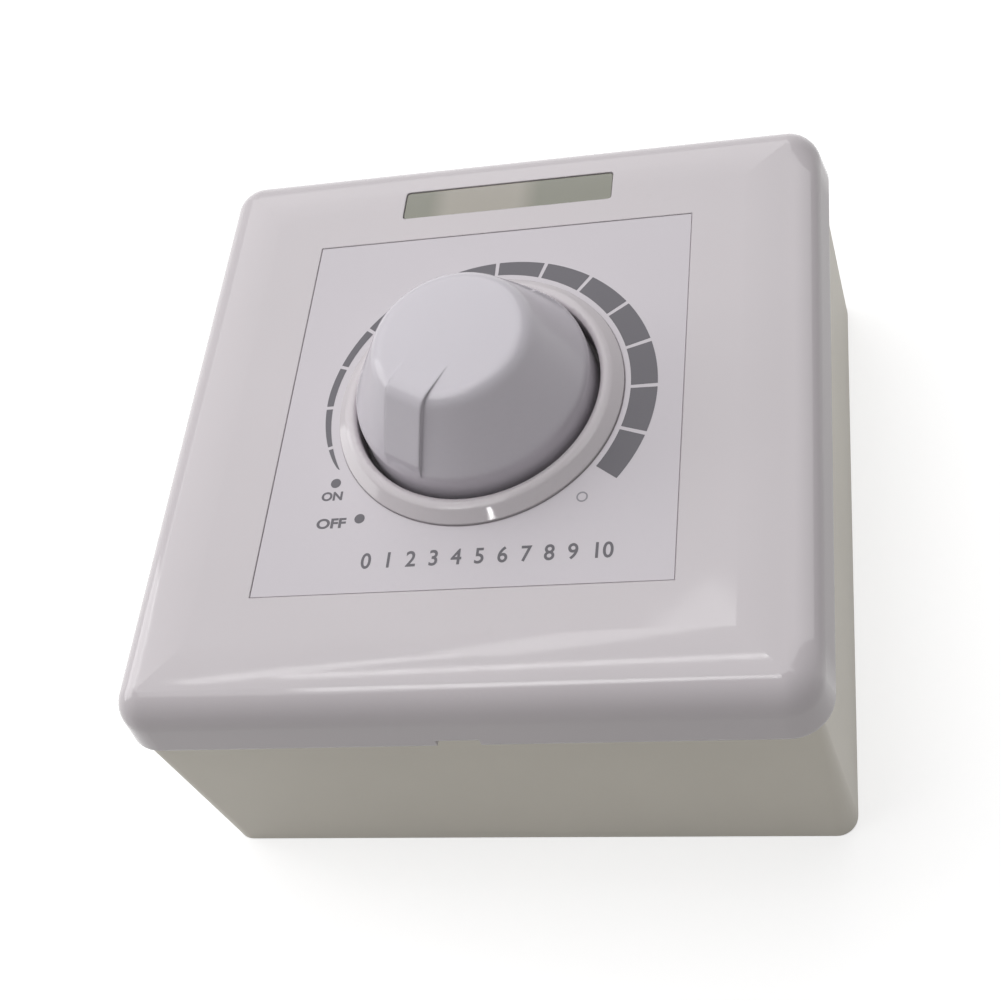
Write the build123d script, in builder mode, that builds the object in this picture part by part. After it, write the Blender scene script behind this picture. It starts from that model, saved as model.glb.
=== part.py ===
from build123d import *
from math import cos, radians, sin, sqrt, tan
import os

# Surface-mounted rotary dimmer: back box, support frame, snap-on cover with a printed label,
# an electronics module and a switched potentiometer that turns under a tapered knob.
# Lengths are millimetres and angles degrees. The origin is the centre of the box's back,
# +Z points out of the face and +Y to the edge with the indicator window.

# Cover plate
plate_size = 85.4
cover_height = 8.5
cover_corner_radius = 4.0
cover_wall = 1.7
face_wall = 2.2
crown_width = 9.0
crown_drop = 1.2
shoulder_radius = 4.5
skirt_flare = 1.25
skirt_inner_flare = 0.5
seam_gap = 0.2
pry_notch_width = 5.4
pry_notch_height = 1.0

# Raised collar and the well that the knob turns in
collar_outer_radius = 18.9
collar_inner_radius = 16.1
collar_height = 2.0
collar_crest = 0.6
collar_crest_width = 0.7
collar_crest_rounding = 1.2
collar_lip = 0.3
well_depth = 2.2
well_floor = 1.4
well_wall = 1.5
shaft_opening_radius = 6.6

# Label film and indicator lens
label_width = 52.8
label_end_border = 15.15
label_thickness = 0.2
label_recess = 0.25
label_gap = 0.1
window_width = 30.2
window_height = 5.0
window_edge_distance = 8.5
window_corner_radius = 0.5
lens_gap = 0.1
lens_flange = 1.2
lens_flange_thickness = 0.8
lens_inset = 0.15
window_seat_depth = 3.3
window_seat_margin = 1.8

# Snap hooks inside the cover
hook_inset = 3.5
hook_y = 20.0
hook_width = 6.0
hook_thickness = 1.2
hook_barb = 0.8
hook_length_below_plate = 1.5
hook_clearance = 0.4
barb_clearance = 0.1

# Back box
box_depth = 33.5
box_rim_inset = 0.25
box_draft = 2.3
box_corner_radius = 2.8
box_wall = 2.15
box_floor = 2.4
rim_chamfer = 0.3
screw_pitch = 60.3
pillar_radius = 4.5
web_thickness = 2.0
web_drop = 3.0
insert_length = 8.0
insert_radius = 3.0
pillar_bore_radius = 2.3
pillar_bore_bottom = 10.0
slot_pitch = 60.0
slot_width = 4.5
slot_length = 9.0
cable_hole_radius = 10.0
knockout_radius = 10.0
knockout_groove = 0.8
knockout_membrane = 0.9
knockout_height = 15.0

# Support frame
frame_thickness = 2.0
frame_edge_gap = 0.1
frame_corner_radius = 3.0
frame_lip_height = 1.4
frame_lip_inset = 1.2
frame_lip_thickness = 1.4
frame_rib_height = 1.2
frame_rib_thickness = 1.2
frame_ring_radius = 10.0
frame_slot_length = 9.0
frame_slot_width = 4.6
frame_boss_radius = 2.8
frame_boss_height = 2.2

# Fixing screws
screw_radius = 2.0
screw_length = 24.0
screw_head_radius = 4.0
screw_head_height = 2.4
screw_recess_width = 0.9
thread_clearance = 0.05

# Module case
case_side_gap = 0.65
case_end_gap = 2.0
case_wall = 1.6
case_floor = 1.8
case_corner_radius = 2.0
case_ear_radius = 3.2
case_ear_thickness = 2.0
case_ear_y = 22.0
case_ear_reach = 2.6
case_screw_radius = 1.1
case_screw_head_radius = 2.1
case_screw_head_height = 1.4

# Circuit board and what stands on it
board_thickness = 1.6
board_gap = 0.4
board_standoff = 1.6
board_screw_inset = 4.0
board_post_radius = 2.6
board_screw_radius = 1.0
board_screw_head_radius = 1.9
board_screw_head_height = 1.2
lead_radius = 0.3
lead_stub = 1.2
lead_bend = 1.6
lead_hole_clearance = 0.05
pin_radius = 0.6
axial_lift = 0.4
small_row_edge_distance = 5.8
capacitor_spacing = 9.5

fuse_radius = 2.6
fuse_length = 20.0
fuse_cap_length = 5.0
fuse_spacing = 10.0
fuse_lift = 1.2
fuse_cap_step = 0.2
clip_width = 4.0
clip_thickness = 0.5
clip_gap = 0.02
clip_foot_width = 3.0
clip_mouth_width = 3.8
film_capacitor_size = (18.0, 7.0, 13.0)
film_capacitor_edge_distance = 14.0
film_capacitor_lift = 0.5
film_lead_spacing = 15.0
can_capacitor_radius = 4.0
can_capacitor_height = 12.0
can_capacitor_edge_distance = 10.0
can_lead_spacing = 3.5
varistor_radius = 5.0
varistor_thickness = 4.0
varistor_edge_distance = 6.0
varistor_lift = 1.5
varistor_lead_spacing = 7.5
transistor_size = (8.0, 3.2, 11.0)
transistor_edge_distance = 6.0
transistor_y = 2.0
transistor_lift = 3.0
transistor_lead_spacing = 2.29
resistor_radius = 1.2
resistor_length = 6.6
resistor_count = 3
resistor_pitch = 3.6
resistor_row_x = -8.0
diode_radius = 1.35
diode_length = 5.0
diode_count = 2
diode_pitch = 4.4
diode_row_x = 8.2
led_radius = 1.5
led_flange_radius = 1.9
led_flange_height = 1.0
led_body_height = 3.4
led_lens_clearance = 0.5
led_hole_clearance = 0.4
led_lead_spacing = 2.54

# Terminal block on the back of the board
terminal_count = 4
terminal_pitch = 7.5
terminal_depth = 10.0
terminal_edge_distance = 5.3
terminal_height = 12.0
terminal_gap = 0.5
cage_width = 5.2
cage_depth = 6.0
cage_height = 5.0
cage_wall = 0.8
cage_gap = 0.1
cage_setback = 1.0
cage_margin = 0.5
terminal_screw_radius = 1.5
terminal_screw_head_radius = 2.2
terminal_screw_head_height = 2.2
terminal_screw_recess = 0.4
terminal_screw_clearance = 0.2
screwdriver_slot_width = 0.7

# Switched potentiometer
pot_radius = 8.5
pot_flange_thickness = 1.2
pot_can_depth = 7.2
pot_can_wall = 0.8
bushing_radius = 3.5
bushing_length = 6.5
frame_hole_clearance = 0.1
washer_radius = 6.0
washer_thickness = 0.5
nut_across_flats = 10.0
nut_thickness = 2.0
tab_radius = 1.0
tab_distance = 7.2
tab_height = 1.5
shaft_radius = 3.0
shaft_clearance = 0.05
shaft_length = 20.0
shaft_engagement = 12.0
shaft_flat_depth = 1.5
wafer_thickness = 1.2
wafer_inner_radius = 4.6
wafer_tab_width = 12.6
wafer_tab_reach = 2.0
wafer_gap = 0.1
pot_terminal_pitch = 5.0
pot_terminal_width = 1.0
pot_terminal_thickness = 0.5
pot_terminal_reach = 0.75
rotor_radius = 6.6
rotor_thickness = 2.0
rotor_gap = 1.0
rotor_hub_radius = 4.2
hub_clearance = 0.4
hub_reach = 0.5
hub_floor = 0.7
wiper_thickness = 0.3
wiper_radius = 6.2
wiper_finger_width = 1.6
wiper_gap = 0.05
wiper_shaft_gap = 0.3
drive_peg_radius = 0.8
drive_peg_circle = 2.4
drive_peg_length = 1.4

# Switch behind the potentiometer
switch_depth = 7.0
switch_wall = 0.9
switch_floor = 1.4
rocker_thickness = 2.0
rocker_pivot_circle = 4.8
rocker_hub_radius = 1.9
rocker_arm_width = 2.6
rocker_arm_length = 3.6
rocker_notch_gap = 0.05
rocker_notch_depth = 2.1
rocker_bar_length = 3.6
rocker_bar_width = 2.0
rocker_peg_clearance = 0.3
rocker_pin_radius = 1.0
rocker_pin_clearance = 0.06
rocker_pin_reach = 0.6
rocker_seat_gap = 0.1
rocker_throw = 17.0
bridge_thickness = 0.4
contact_post_radius = 0.7
contact_post_offset = 3.3
contact_gap = 0.1
common_strip_thickness = 0.6
common_strip_width = 2.4
common_leg_offset = 2.8

# Knob
knob_base_radius = 15.6
knob_skirt_height = 6.0
knob_skirt_top_radius = 15.2
knob_top_radius = 9.7
knob_rise = 13.9
knob_dome = 0.4
knob_edge_radius = 2.4
knob_break_radius = 3.0
knob_wall = 1.6
knob_roof = 2.0
knob_well_gap = 0.6
knob_boss_radius = 5.2
knob_rib_thickness = 1.2
knob_rib_depth = 7.0
knob_boss_gap = 0.7
knob_bore_clearance = 0.02
bore_end_gap = 0.3
rest_angle = 217.0
pointer_angle = 208.0
pointer_width = 5.6
pointer_proud = 0.25
pointer_below_top = 0.1
pointer_start = 4.4
pointer_fade = 1.6
pointer_root = 0.9
spring_clip_thickness = 0.35
spring_clip_width = 4.0
spring_clip_length = 9.0

# Heights worked out from the sizes above
rim_z = box_depth
face_z = rim_z + cover_height
cover_base_z = rim_z + seam_gap
inner_face_z = face_z - face_wall
well_floor_z = face_z - well_depth
frame_top_z = rim_z + frame_thickness
bushing_top_z = rim_z + bushing_length
pot_rear_z = rim_z - pot_flange_thickness - pot_can_depth
board_front_z = pot_rear_z - switch_depth
board_back_z = board_front_z - board_thickness
case_back_z = board_back_z - board_standoff - case_floor
knob_top_z = face_z + knob_rise
knob_base_z = well_floor_z + knob_well_gap

# Half widths worked out from the sizes above
plate_half = plate_size / 2
label_length = plate_size - 2 * label_end_border
window_y = plate_half - window_edge_distance
cover_inner_half = plate_half - cover_wall
frame_half = cover_inner_half - frame_edge_gap
box_rim_half = plate_half - box_rim_inset
box_back_half = box_rim_half + box_depth * tan(radians(box_draft))
box_inner_half = box_rim_half - box_wall
screw_x = screw_pitch / 2
case_half_width = screw_x - pillar_radius - case_side_gap
case_half_length = box_inner_half - case_end_gap
board_half_width = case_half_width - case_wall - board_gap
board_half_length = case_half_length - case_wall - board_gap
terminal_y = terminal_edge_distance - board_half_length
fuse_y = terminal_y + fuse_spacing
hook_x = plate_half - hook_inset
case_ear_x = case_half_width + case_ear_reach
rest_turn = radians(rest_angle)
pointer_turn = radians(pointer_angle)


def crowned_section(plane, half, top, rounding, flare):
    """Cross-section of the cover: flat in the middle, curling down to sides that flare to the seam."""
    flat = half - crown_width
    shoulder = top - crown_drop
    foot = half + flare
    with BuildSketch(plane) as section:
        with BuildLine():
            Line((-flat, top), (flat, top))
            TangentArc((flat, top), (half, shoulder), tangent=(1, 0))
            Line((half, shoulder), (foot, cover_base_z))
            Line((foot, cover_base_z), (-foot, cover_base_z))
            Line((-foot, cover_base_z), (-half, shoulder))
            TangentArc((-flat, top), (-half, shoulder), tangent=(-1, 0))
        make_face()
        shoulders = [corner for corner in section.vertices() if abs(corner.Y - shoulder) < 0.01]
        fillet(shoulders, rounding)
    return section.sketch


def crowned_block(half, top, corner_radius, rounding, flare):
    """Solid pillow: one crowned section runs along the four sides and swings round the corners."""
    section = crowned_section(Plane.XY, half, top, rounding, flare)
    foot = half + flare
    centre = half - corner_radius
    height = top - cover_base_z
    with BuildPart() as block:
        extrude(crowned_section(Plane.XZ, half, top, rounding, flare), amount=foot, both=True)
        crossing = crowned_section(Plane.YZ, half, top, rounding, flare)
        extrude(crossing, amount=foot, both=True, mode=Mode.INTERSECT)
        with BuildSketch(Plane.XY.offset(cover_base_z)):
            with GridLocations(centre + foot, centre + foot, 2, 2):
                Rectangle(foot - centre, foot - centre)
        extrude(amount=height, mode=Mode.SUBTRACT)
        for side in (-1, 1):
            for end in (-1, 1):
                corner = (side * centre, end * centre, 0)
                with BuildSketch(Plane(origin=corner, x_dir=(side, 0, 0), z_dir=(0, -side, 0))):
                    add(Pos(-centre, 0) * section)
                    with Locations(((foot - centre) / 2, cover_base_z + height / 2)):
                        Rectangle(foot - centre, height, mode=Mode.INTERSECT)
                revolve(axis=Axis(corner, (0, 0, side * end)), revolution_arc=90)
    return block.part


def turned_plane(height, turn=0.0):
    """Horizontal plane on the knob's axis whose x direction is that of the shaft's flat at rest."""
    angle = rest_turn + radians(turn)
    return Plane(origin=(0, 0, height), x_dir=(sin(angle), cos(angle), 0), z_dir=(0, 0, 1))


def pan_screws(
    places, head_z, facing, shank_radius, length,
    head_radius, head_height, slot_width, rim=chamfer, cross=True,
):
    """Screws at the given places; facing is +1 where the heads look along +Z and -1 along -Z."""
    under_head = Plane(origin=(0, 0, head_z), x_dir=(1, 0, 0), z_dir=(0, 0, -facing))
    over_head = Plane(origin=(0, 0, head_z + facing * head_height), x_dir=(1, 0, 0), z_dir=(0, 0, -facing))
    spots = [(x, -y * facing) for x, y in places]
    with BuildPart() as screws:
        with BuildSketch(under_head):
            with Locations(*spots):
                Circle(head_radius)
        extrude(amount=-head_height)
        rims = screws.edges().filter_by(GeomType.CIRCLE).group_by(Axis.Z)[-1 if facing > 0 else 0]
        rim(rims, head_height * 0.45)
        with BuildSketch(under_head):
            with Locations(*spots):
                Circle(shank_radius)
        extrude(amount=length)
        with BuildSketch(over_head):
            with Locations(*spots):
                Rectangle(head_radius * 1.3 if cross else head_radius * 2, slot_width)
                if cross:
                    Rectangle(slot_width, head_radius * 1.3)
        extrude(amount=head_height / 2, mode=Mode.SUBTRACT)
    return screws.part


def save(part, name):
    """Label one piece and write it as its own file."""
    part.label = name
    export_step(part, f"parts/{name}.step")


os.makedirs("parts", exist_ok=True)

# Back box: a drafted shell with two screw pillars, fixing slots and a cable entry
with BuildPart() as back_box:
    with BuildSketch(Plane.XY):
        RectangleRounded(2 * box_back_half, 2 * box_back_half, box_corner_radius)
    extrude(amount=rim_z, taper=box_draft)
    chamfer(back_box.edges().group_by(Axis.Z)[-1], rim_chamfer)
    with BuildSketch(Plane.XY.offset(rim_z)):
        RectangleRounded(2 * box_inner_half, 2 * box_inner_half, max(box_corner_radius - box_wall, 0.8))
    extrude(amount=-(rim_z - box_floor), taper=-box_draft, mode=Mode.SUBTRACT)
    with BuildSketch(Plane.XY.offset(box_floor)):
        with Locations((-screw_x, 0), (screw_x, 0)):
            Circle(pillar_radius)
    extrude(amount=rim_z - box_floor)
    web_length = box_inner_half + box_wall / 2 - screw_x
    with BuildSketch(Plane.XY.offset(box_floor)):
        with Locations((screw_x + web_length / 2, 0), (-screw_x - web_length / 2, 0)):
            Rectangle(web_length, web_thickness)
    extrude(amount=rim_z - box_floor - web_drop)
    with BuildSketch(Plane.XY.offset(rim_z)):
        with Locations((-screw_x, 0), (screw_x, 0)):
            Circle(insert_radius)
    extrude(amount=-insert_length, mode=Mode.SUBTRACT)
    with BuildSketch(Plane.XY.offset(pillar_bore_bottom)):
        with Locations((-screw_x, 0), (screw_x, 0)):
            Circle(pillar_bore_radius)
    extrude(amount=rim_z - pillar_bore_bottom, mode=Mode.SUBTRACT)
    with BuildSketch(Plane.XY):
        with Locations((0, -slot_pitch / 2), (0, slot_pitch / 2)):
            SlotOverall(slot_length, slot_width, rotation=90)
        Circle(cable_hole_radius)
    extrude(amount=box_floor, mode=Mode.SUBTRACT)
    knockout_y = box_rim_half + (rim_z - knockout_height) * tan(radians(box_draft)) - knockout_membrane
    for side in (-1, 1):
        wall_plane = Plane(
            origin=(0, side * knockout_y, knockout_height), x_dir=(1, 0, 0), z_dir=(0, -side, 0)
        )
        with BuildSketch(wall_plane):
            Circle(knockout_radius)
            Circle(knockout_radius - knockout_groove, mode=Mode.SUBTRACT)
        extrude(amount=box_wall, mode=Mode.SUBTRACT)

# Threaded sleeves moulded into the pillars
with BuildPart() as box_inserts:
    with BuildSketch(Plane.XY.offset(rim_z - insert_length)):
        with Locations((-screw_x, 0), (screw_x, 0)):
            Circle(insert_radius)
            Circle(screw_radius + thread_clearance, mode=Mode.SUBTRACT)
    extrude(amount=insert_length)

# Cover: crowned shell, collar and knob well, label recess, lens opening, hooks, pry notch
inner_corner_radius = max(cover_corner_radius - cover_wall, 0.6)
inner_shoulder = shoulder_radius / 2
cover_blank = crowned_block(plate_half, face_z, cover_corner_radius, shoulder_radius, skirt_flare)
cover_hollow = crowned_block(
    cover_inner_half, inner_face_z, inner_corner_radius, inner_shoulder, skirt_inner_flare
)
seat_size = (window_width + 2 * window_seat_margin, window_height + 2 * window_seat_margin)

with BuildPart() as front_cover:
    add(cover_blank)
    add(cover_hollow, mode=Mode.SUBTRACT)
    with BuildSketch(Plane.XY.offset(face_z - window_seat_depth)):
        with Locations((0, window_y)):
            Rectangle(*seat_size)
    extrude(amount=window_seat_depth - face_wall / 2)
    with BuildSketch(Plane.XY.offset(face_z - label_recess)):
        Rectangle(label_width + 2 * label_gap, label_length + 2 * label_gap)
    extrude(amount=label_recess, mode=Mode.SUBTRACT)
    with BuildSketch(Plane.XY.offset(cover_base_z)):
        Circle(collar_inner_radius)
    extrude(amount=cover_height, mode=Mode.SUBTRACT)
    crest_inner = (collar_inner_radius, face_z + collar_height)
    crest_outer = (collar_inner_radius + collar_crest + collar_crest_width, face_z + collar_height)
    root_z = face_z - face_wall / 2
    with BuildSketch(Plane.XZ) as collar_side:
        with BuildLine():
            Polyline(
                crest_inner,
                (collar_inner_radius, well_floor_z),
                (shaft_opening_radius, well_floor_z),
                (shaft_opening_radius, well_floor_z - well_floor),
                (collar_inner_radius + well_wall, well_floor_z - well_floor),
                (collar_inner_radius + well_wall, root_z),
                (collar_outer_radius, root_z),
                (collar_outer_radius, face_z + collar_lip),
                crest_outer,
                close=True,
            )
        make_face()
        fillet(collar_side.vertices().sort_by_distance(crest_inner)[0], collar_crest)
        fillet(collar_side.vertices().sort_by_distance(crest_outer)[0], collar_crest_rounding)
    revolve(axis=Axis.Z)
    with BuildSketch(Plane.XY.offset(face_z - window_seat_depth)):
        with Locations((0, window_y)):
            RectangleRounded(window_width, window_height, window_corner_radius)
    extrude(amount=window_seat_depth, mode=Mode.SUBTRACT)
    hook_bottom_z = rim_z - hook_length_below_plate
    hook_root_z = face_z - crown_drop
    for side in (-1, 1):
        for y in (-hook_y, hook_y):
            with BuildSketch(Plane(origin=(side * hook_x, y, 0), x_dir=(-side, 0, 0), z_dir=(0, side, 0))):
                with BuildLine():
                    Polyline(
                        (-hook_thickness / 2, hook_root_z),
                        (-hook_thickness / 2, hook_bottom_z),
                        (hook_thickness / 2, hook_bottom_z),
                        (hook_thickness / 2 + hook_barb, rim_z - barb_clearance),
                        (hook_thickness / 2, rim_z - barb_clearance),
                        (hook_thickness / 2, hook_root_z),
                        close=True,
                    )
                make_face()
            extrude(amount=hook_width / 2, both=True)
    with BuildSketch(Plane.XZ.offset(plate_half + skirt_flare)):
        with Locations((0, cover_base_z + pry_notch_height / 2)):
            Rectangle(pry_notch_width, pry_notch_height)
    extrude(amount=-(cover_wall + skirt_flare), mode=Mode.SUBTRACT)

# Label film round the collar
with BuildPart() as scale_label:
    with BuildSketch(Plane.XY.offset(face_z - label_recess)):
        Rectangle(label_width, label_length)
        Circle(collar_outer_radius + label_gap, mode=Mode.SUBTRACT)
    extrude(amount=label_thickness)

# Lens: its body fills the opening under the crown and its flange sits behind the seat
with BuildPart() as indicator_window:
    with BuildSketch(Plane.XY.offset(face_z - window_seat_depth)):
        with Locations((0, window_y)):
            RectangleRounded(window_width - 2 * lens_gap, window_height - 2 * lens_gap, window_corner_radius)
    extrude(amount=window_seat_depth)
    add(Pos(0, 0, -lens_inset) * cover_blank, mode=Mode.INTERSECT)
    with BuildSketch(Plane.XY.offset(face_z - window_seat_depth - lens_flange_thickness)):
        with Locations((0, window_y)):
            Rectangle(window_width + 2 * lens_flange, window_height + 2 * lens_flange)
    extrude(amount=lens_flange_thickness)

# Support frame: plate on the box's rim with a lip, ribs, screw slots and the module's seat
with BuildPart() as mounting_frame:
    with BuildSketch(Plane.XY.offset(rim_z)):
        RectangleRounded(2 * frame_half, 2 * frame_half, frame_corner_radius)
    extrude(amount=frame_thickness)
    with BuildSketch(Plane.XY.offset(frame_top_z)):
        lip_half = frame_half - frame_lip_inset
        bay_half = lip_half - frame_lip_thickness
        RectangleRounded(2 * lip_half, 2 * lip_half, frame_corner_radius)
        RectangleRounded(2 * bay_half, 2 * bay_half, frame_corner_radius / 2, mode=Mode.SUBTRACT)
    extrude(amount=frame_lip_height)
    with BuildSketch(Plane.XY.offset(frame_top_z)):
        rib_end = bay_half * sqrt(2)
        with PolarLocations((frame_ring_radius + rib_end) / 2, 4, start_angle=45):
            Rectangle(rib_end - frame_ring_radius, frame_rib_thickness)
        Circle(frame_ring_radius + frame_rib_thickness)
        Circle(frame_ring_radius, mode=Mode.SUBTRACT)
    extrude(amount=frame_rib_height)
    with BuildSketch(Plane.XY.offset(frame_top_z)):
        with GridLocations(2 * case_ear_x, 2 * case_ear_y, 2, 2):
            Circle(frame_boss_radius)
    extrude(amount=frame_boss_height)
    with BuildSketch(Plane.XY.offset(rim_z)):
        with GridLocations(2 * case_ear_x, 2 * case_ear_y, 2, 2):
            Circle(case_screw_radius + thread_clearance)
    extrude(amount=frame_thickness + frame_boss_height / 2, mode=Mode.SUBTRACT)
    slot_inner = hook_thickness / 2 + hook_clearance
    with BuildSketch(Plane.XY.offset(rim_z)):
        Circle(bushing_radius + frame_hole_clearance)
        with Locations((0, tab_distance)):
            Circle(tab_radius + frame_hole_clearance)
        with Locations((0, window_y)):
            Circle(led_flange_radius + led_hole_clearance)
        with Locations((-screw_x, 0), (screw_x, 0)):
            SlotOverall(frame_slot_length, frame_slot_width, rotation=90)
        with GridLocations(2 * hook_x, 2 * hook_y, 2, 2):
            Rectangle(2 * slot_inner, hook_width + 2 * hook_clearance)
    extrude(amount=frame_thickness + max(frame_rib_height, frame_lip_height), mode=Mode.SUBTRACT)

# Two machine screws from the frame into the box's pillars
fixing_screws = pan_screws(
    [(-screw_x, 0), (screw_x, 0)], frame_top_z, 1, screw_radius, screw_length,
    screw_head_radius, screw_head_height, screw_recess_width, rim=fillet,
)

# Module case: open at the frame, with ears for its screws and posts for the board
with BuildPart() as module_case:
    with BuildSketch(Plane.XY.offset(case_back_z)):
        RectangleRounded(2 * case_half_width, 2 * case_half_length, case_corner_radius)
    extrude(amount=rim_z - case_back_z)
    case_floor_z = case_back_z + case_floor
    with BuildSketch(Plane.XY.offset(case_floor_z)):
        RectangleRounded(
            2 * (case_half_width - case_wall),
            2 * (case_half_length - case_wall),
            max(case_corner_radius - case_wall, 0.4),
        )
    extrude(amount=rim_z - case_floor_z, mode=Mode.SUBTRACT)
    with BuildSketch(Plane.XY.offset(rim_z - case_ear_thickness)):
        with GridLocations(2 * case_ear_x, 2 * case_ear_y, 2, 2):
            Circle(case_ear_radius)
        ear_web = case_ear_reach + case_wall / 2
        with GridLocations(2 * case_ear_x - ear_web, 2 * case_ear_y, 2, 2):
            Rectangle(ear_web, 2 * case_ear_radius)
        Rectangle(2 * (case_half_width - case_wall / 2), 2 * case_half_length, mode=Mode.SUBTRACT)
    extrude(amount=case_ear_thickness)
    with BuildSketch(Plane.XY.offset(rim_z - case_ear_thickness)):
        with GridLocations(2 * case_ear_x, 2 * case_ear_y, 2, 2):
            Circle(case_screw_radius + thread_clearance)
    extrude(amount=case_ear_thickness, mode=Mode.SUBTRACT)
    post_x = board_half_width - board_screw_inset
    post_y = board_half_length - board_screw_inset
    with BuildSketch(Plane.XY.offset(case_back_z + case_floor / 2)):
        with GridLocations(2 * post_x, 2 * post_y, 2, 2):
            Circle(board_post_radius)
    extrude(amount=board_back_z - case_back_z - case_floor / 2)
    with BuildSketch(Plane.XY.offset(case_back_z + case_floor / 2)):
        with GridLocations(2 * post_x, 2 * post_y, 2, 2):
            Circle(board_screw_radius + thread_clearance)
    extrude(amount=board_back_z - case_back_z - case_floor / 2, mode=Mode.SUBTRACT)
    with BuildSketch(Plane.XY.offset(case_back_z)):
        with Locations((0, terminal_y)):
            Rectangle(terminal_count * terminal_pitch + 2 * terminal_gap, terminal_depth + 2 * terminal_gap)
    extrude(amount=board_standoff + case_floor, mode=Mode.SUBTRACT)

# Screws that hold the case up against the frame
case_screws = pan_screws(
    [(x * case_ear_x, y * case_ear_y) for x in (-1, 1) for y in (-1, 1)],
    rim_z - case_ear_thickness, -1, case_screw_radius, case_ear_thickness + frame_thickness,
    case_screw_head_radius, case_screw_head_height, screwdriver_slot_width,
)

# Places of every lead that passes through the board, worked out with the pieces that they carry
small_row_y = board_half_length - small_row_edge_distance
capacitor_y = small_row_y - capacitor_spacing
film_capacitor_x = film_capacitor_edge_distance - board_half_width
can_capacitor_x = board_half_width - can_capacitor_edge_distance
varistor_x = varistor_edge_distance - board_half_width
transistor_x = board_half_width - transistor_edge_distance
terminal_xs = [(i - (terminal_count - 1) / 2) * terminal_pitch for i in range(terminal_count)]
cage_y = terminal_y + terminal_depth / 2 - cage_setback - cage_depth / 2
pot_terminal_y = -(pot_radius + wafer_tab_reach + pot_terminal_reach)
pot_terminal_xs = [-pot_terminal_pitch, 0, pot_terminal_pitch]
resistor_xs = [
    resistor_row_x + (i - (resistor_count - 1) / 2) * resistor_pitch for i in range(resistor_count)
]
diode_xs = [diode_row_x + (i - (diode_count - 1) / 2) * diode_pitch for i in range(diode_count)]
resistor_lead = resistor_length / 2 + lead_bend
diode_lead = diode_length / 2 + lead_bend
thin_leads = (
    [(film_capacitor_x + side * film_lead_spacing / 2, capacitor_y) for side in (-1, 1)]
    + [(can_capacitor_x + side * can_lead_spacing / 2, capacitor_y) for side in (-1, 1)]
    + [(varistor_x, side * varistor_lead_spacing / 2) for side in (-1, 1)]
    + [(transistor_x + step * transistor_lead_spacing, transistor_y) for step in (-1, 0, 1)]
    + [(x, small_row_y + side * resistor_lead) for x in resistor_xs for side in (-1, 1)]
    + [(x, small_row_y + side * diode_lead) for x in diode_xs for side in (-1, 1)]
    + [(side * led_lead_spacing / 2, window_y) for side in (-1, 1)]
)
cage_pins = [(x, cage_y) for x in terminal_xs]
clip_xs = [side * (fuse_length - fuse_cap_length) / 2 for side in (-1, 1)]
clip_pins = [(x, fuse_y) for x in clip_xs]
pot_pins = [(x, pot_terminal_y) for x in pot_terminal_xs]
rocker_pivot = turned_plane(0, rocker_throw / 2).from_local_coords((rocker_pivot_circle, 0, 0))


def rocker_plane(height, turn):
    """Horizontal plane on the rocker's pivot; turn is measured clockwise from the shaft's flat at rest."""
    angle = rest_turn + radians(turn)
    return Plane(
        origin=(rocker_pivot.X, rocker_pivot.Y, height), x_dir=(sin(angle), cos(angle), 0), z_dir=(0, 0, 1)
    )


post_place = rocker_plane(0, 0).from_local_coords(
    (-(rocker_bar_width / 2 + bridge_thickness + contact_gap + contact_post_radius), contact_post_offset, 0)
)
common_place = rocker_plane(0, rocker_throw / 2).from_local_coords((0, -common_leg_offset, 0))
switch_pins = [(post_place.X, post_place.Y), (common_place.X, common_place.Y)]

# Circuit board with a hole for each lead, pin and screw
with BuildPart() as circuit_board:
    with BuildSketch(Plane.XY.offset(board_back_z)):
        Rectangle(2 * board_half_width, 2 * board_half_length)
        with GridLocations(2 * post_x, 2 * post_y, 2, 2):
            Circle(board_screw_radius + thread_clearance, mode=Mode.SUBTRACT)
        with Locations(*thin_leads):
            Circle(lead_radius + lead_hole_clearance, mode=Mode.SUBTRACT)
        with Locations(*cage_pins, *clip_pins, *pot_pins, *switch_pins):
            Circle(pin_radius + lead_hole_clearance, mode=Mode.SUBTRACT)
    extrude(amount=board_thickness)

board_screws = pan_screws(
    [(x * post_x, y * post_y) for x in (-1, 1) for y in (-1, 1)],
    board_front_z, 1, board_screw_radius, board_thickness + board_standoff,
    board_screw_head_radius, board_screw_head_height, screwdriver_slot_width,
)

# Terminal block behind the board: each way has a pocket for its cage and a bore for its screw
block_back_z = board_back_z - terminal_height
cage_top_z = case_back_z - cage_margin
cage_bottom_z = cage_top_z - cage_height
with BuildPart() as terminal_block:
    with BuildSketch(Plane.XY.offset(block_back_z)):
        with Locations((0, terminal_y)):
            Rectangle(terminal_count * terminal_pitch, terminal_depth)
    extrude(amount=terminal_height)
    chamfer(terminal_block.edges().group_by(Axis.Z)[0].filter_by(Axis.X), 0.6)
    with BuildSketch(Plane.XZ.offset(-(terminal_y + terminal_depth / 2))):
        with Locations(*[(x, cage_top_z - cage_height / 2) for x in terminal_xs]):
            Rectangle(cage_width + 2 * cage_gap, cage_height + 2 * cage_gap)
    extrude(amount=cage_setback + cage_depth + cage_gap, mode=Mode.SUBTRACT)
    with BuildSketch(Plane.XY.offset(block_back_z)):
        with Locations(*cage_pins):
            Circle(terminal_screw_head_radius + terminal_screw_clearance)
    extrude(amount=cage_bottom_z - block_back_z, mode=Mode.SUBTRACT)
    with BuildSketch(Plane.XY.offset(cage_top_z)):
        with Locations(*cage_pins):
            Circle(pin_radius + lead_hole_clearance)
    extrude(amount=board_back_z - cage_top_z, mode=Mode.SUBTRACT)

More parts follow.
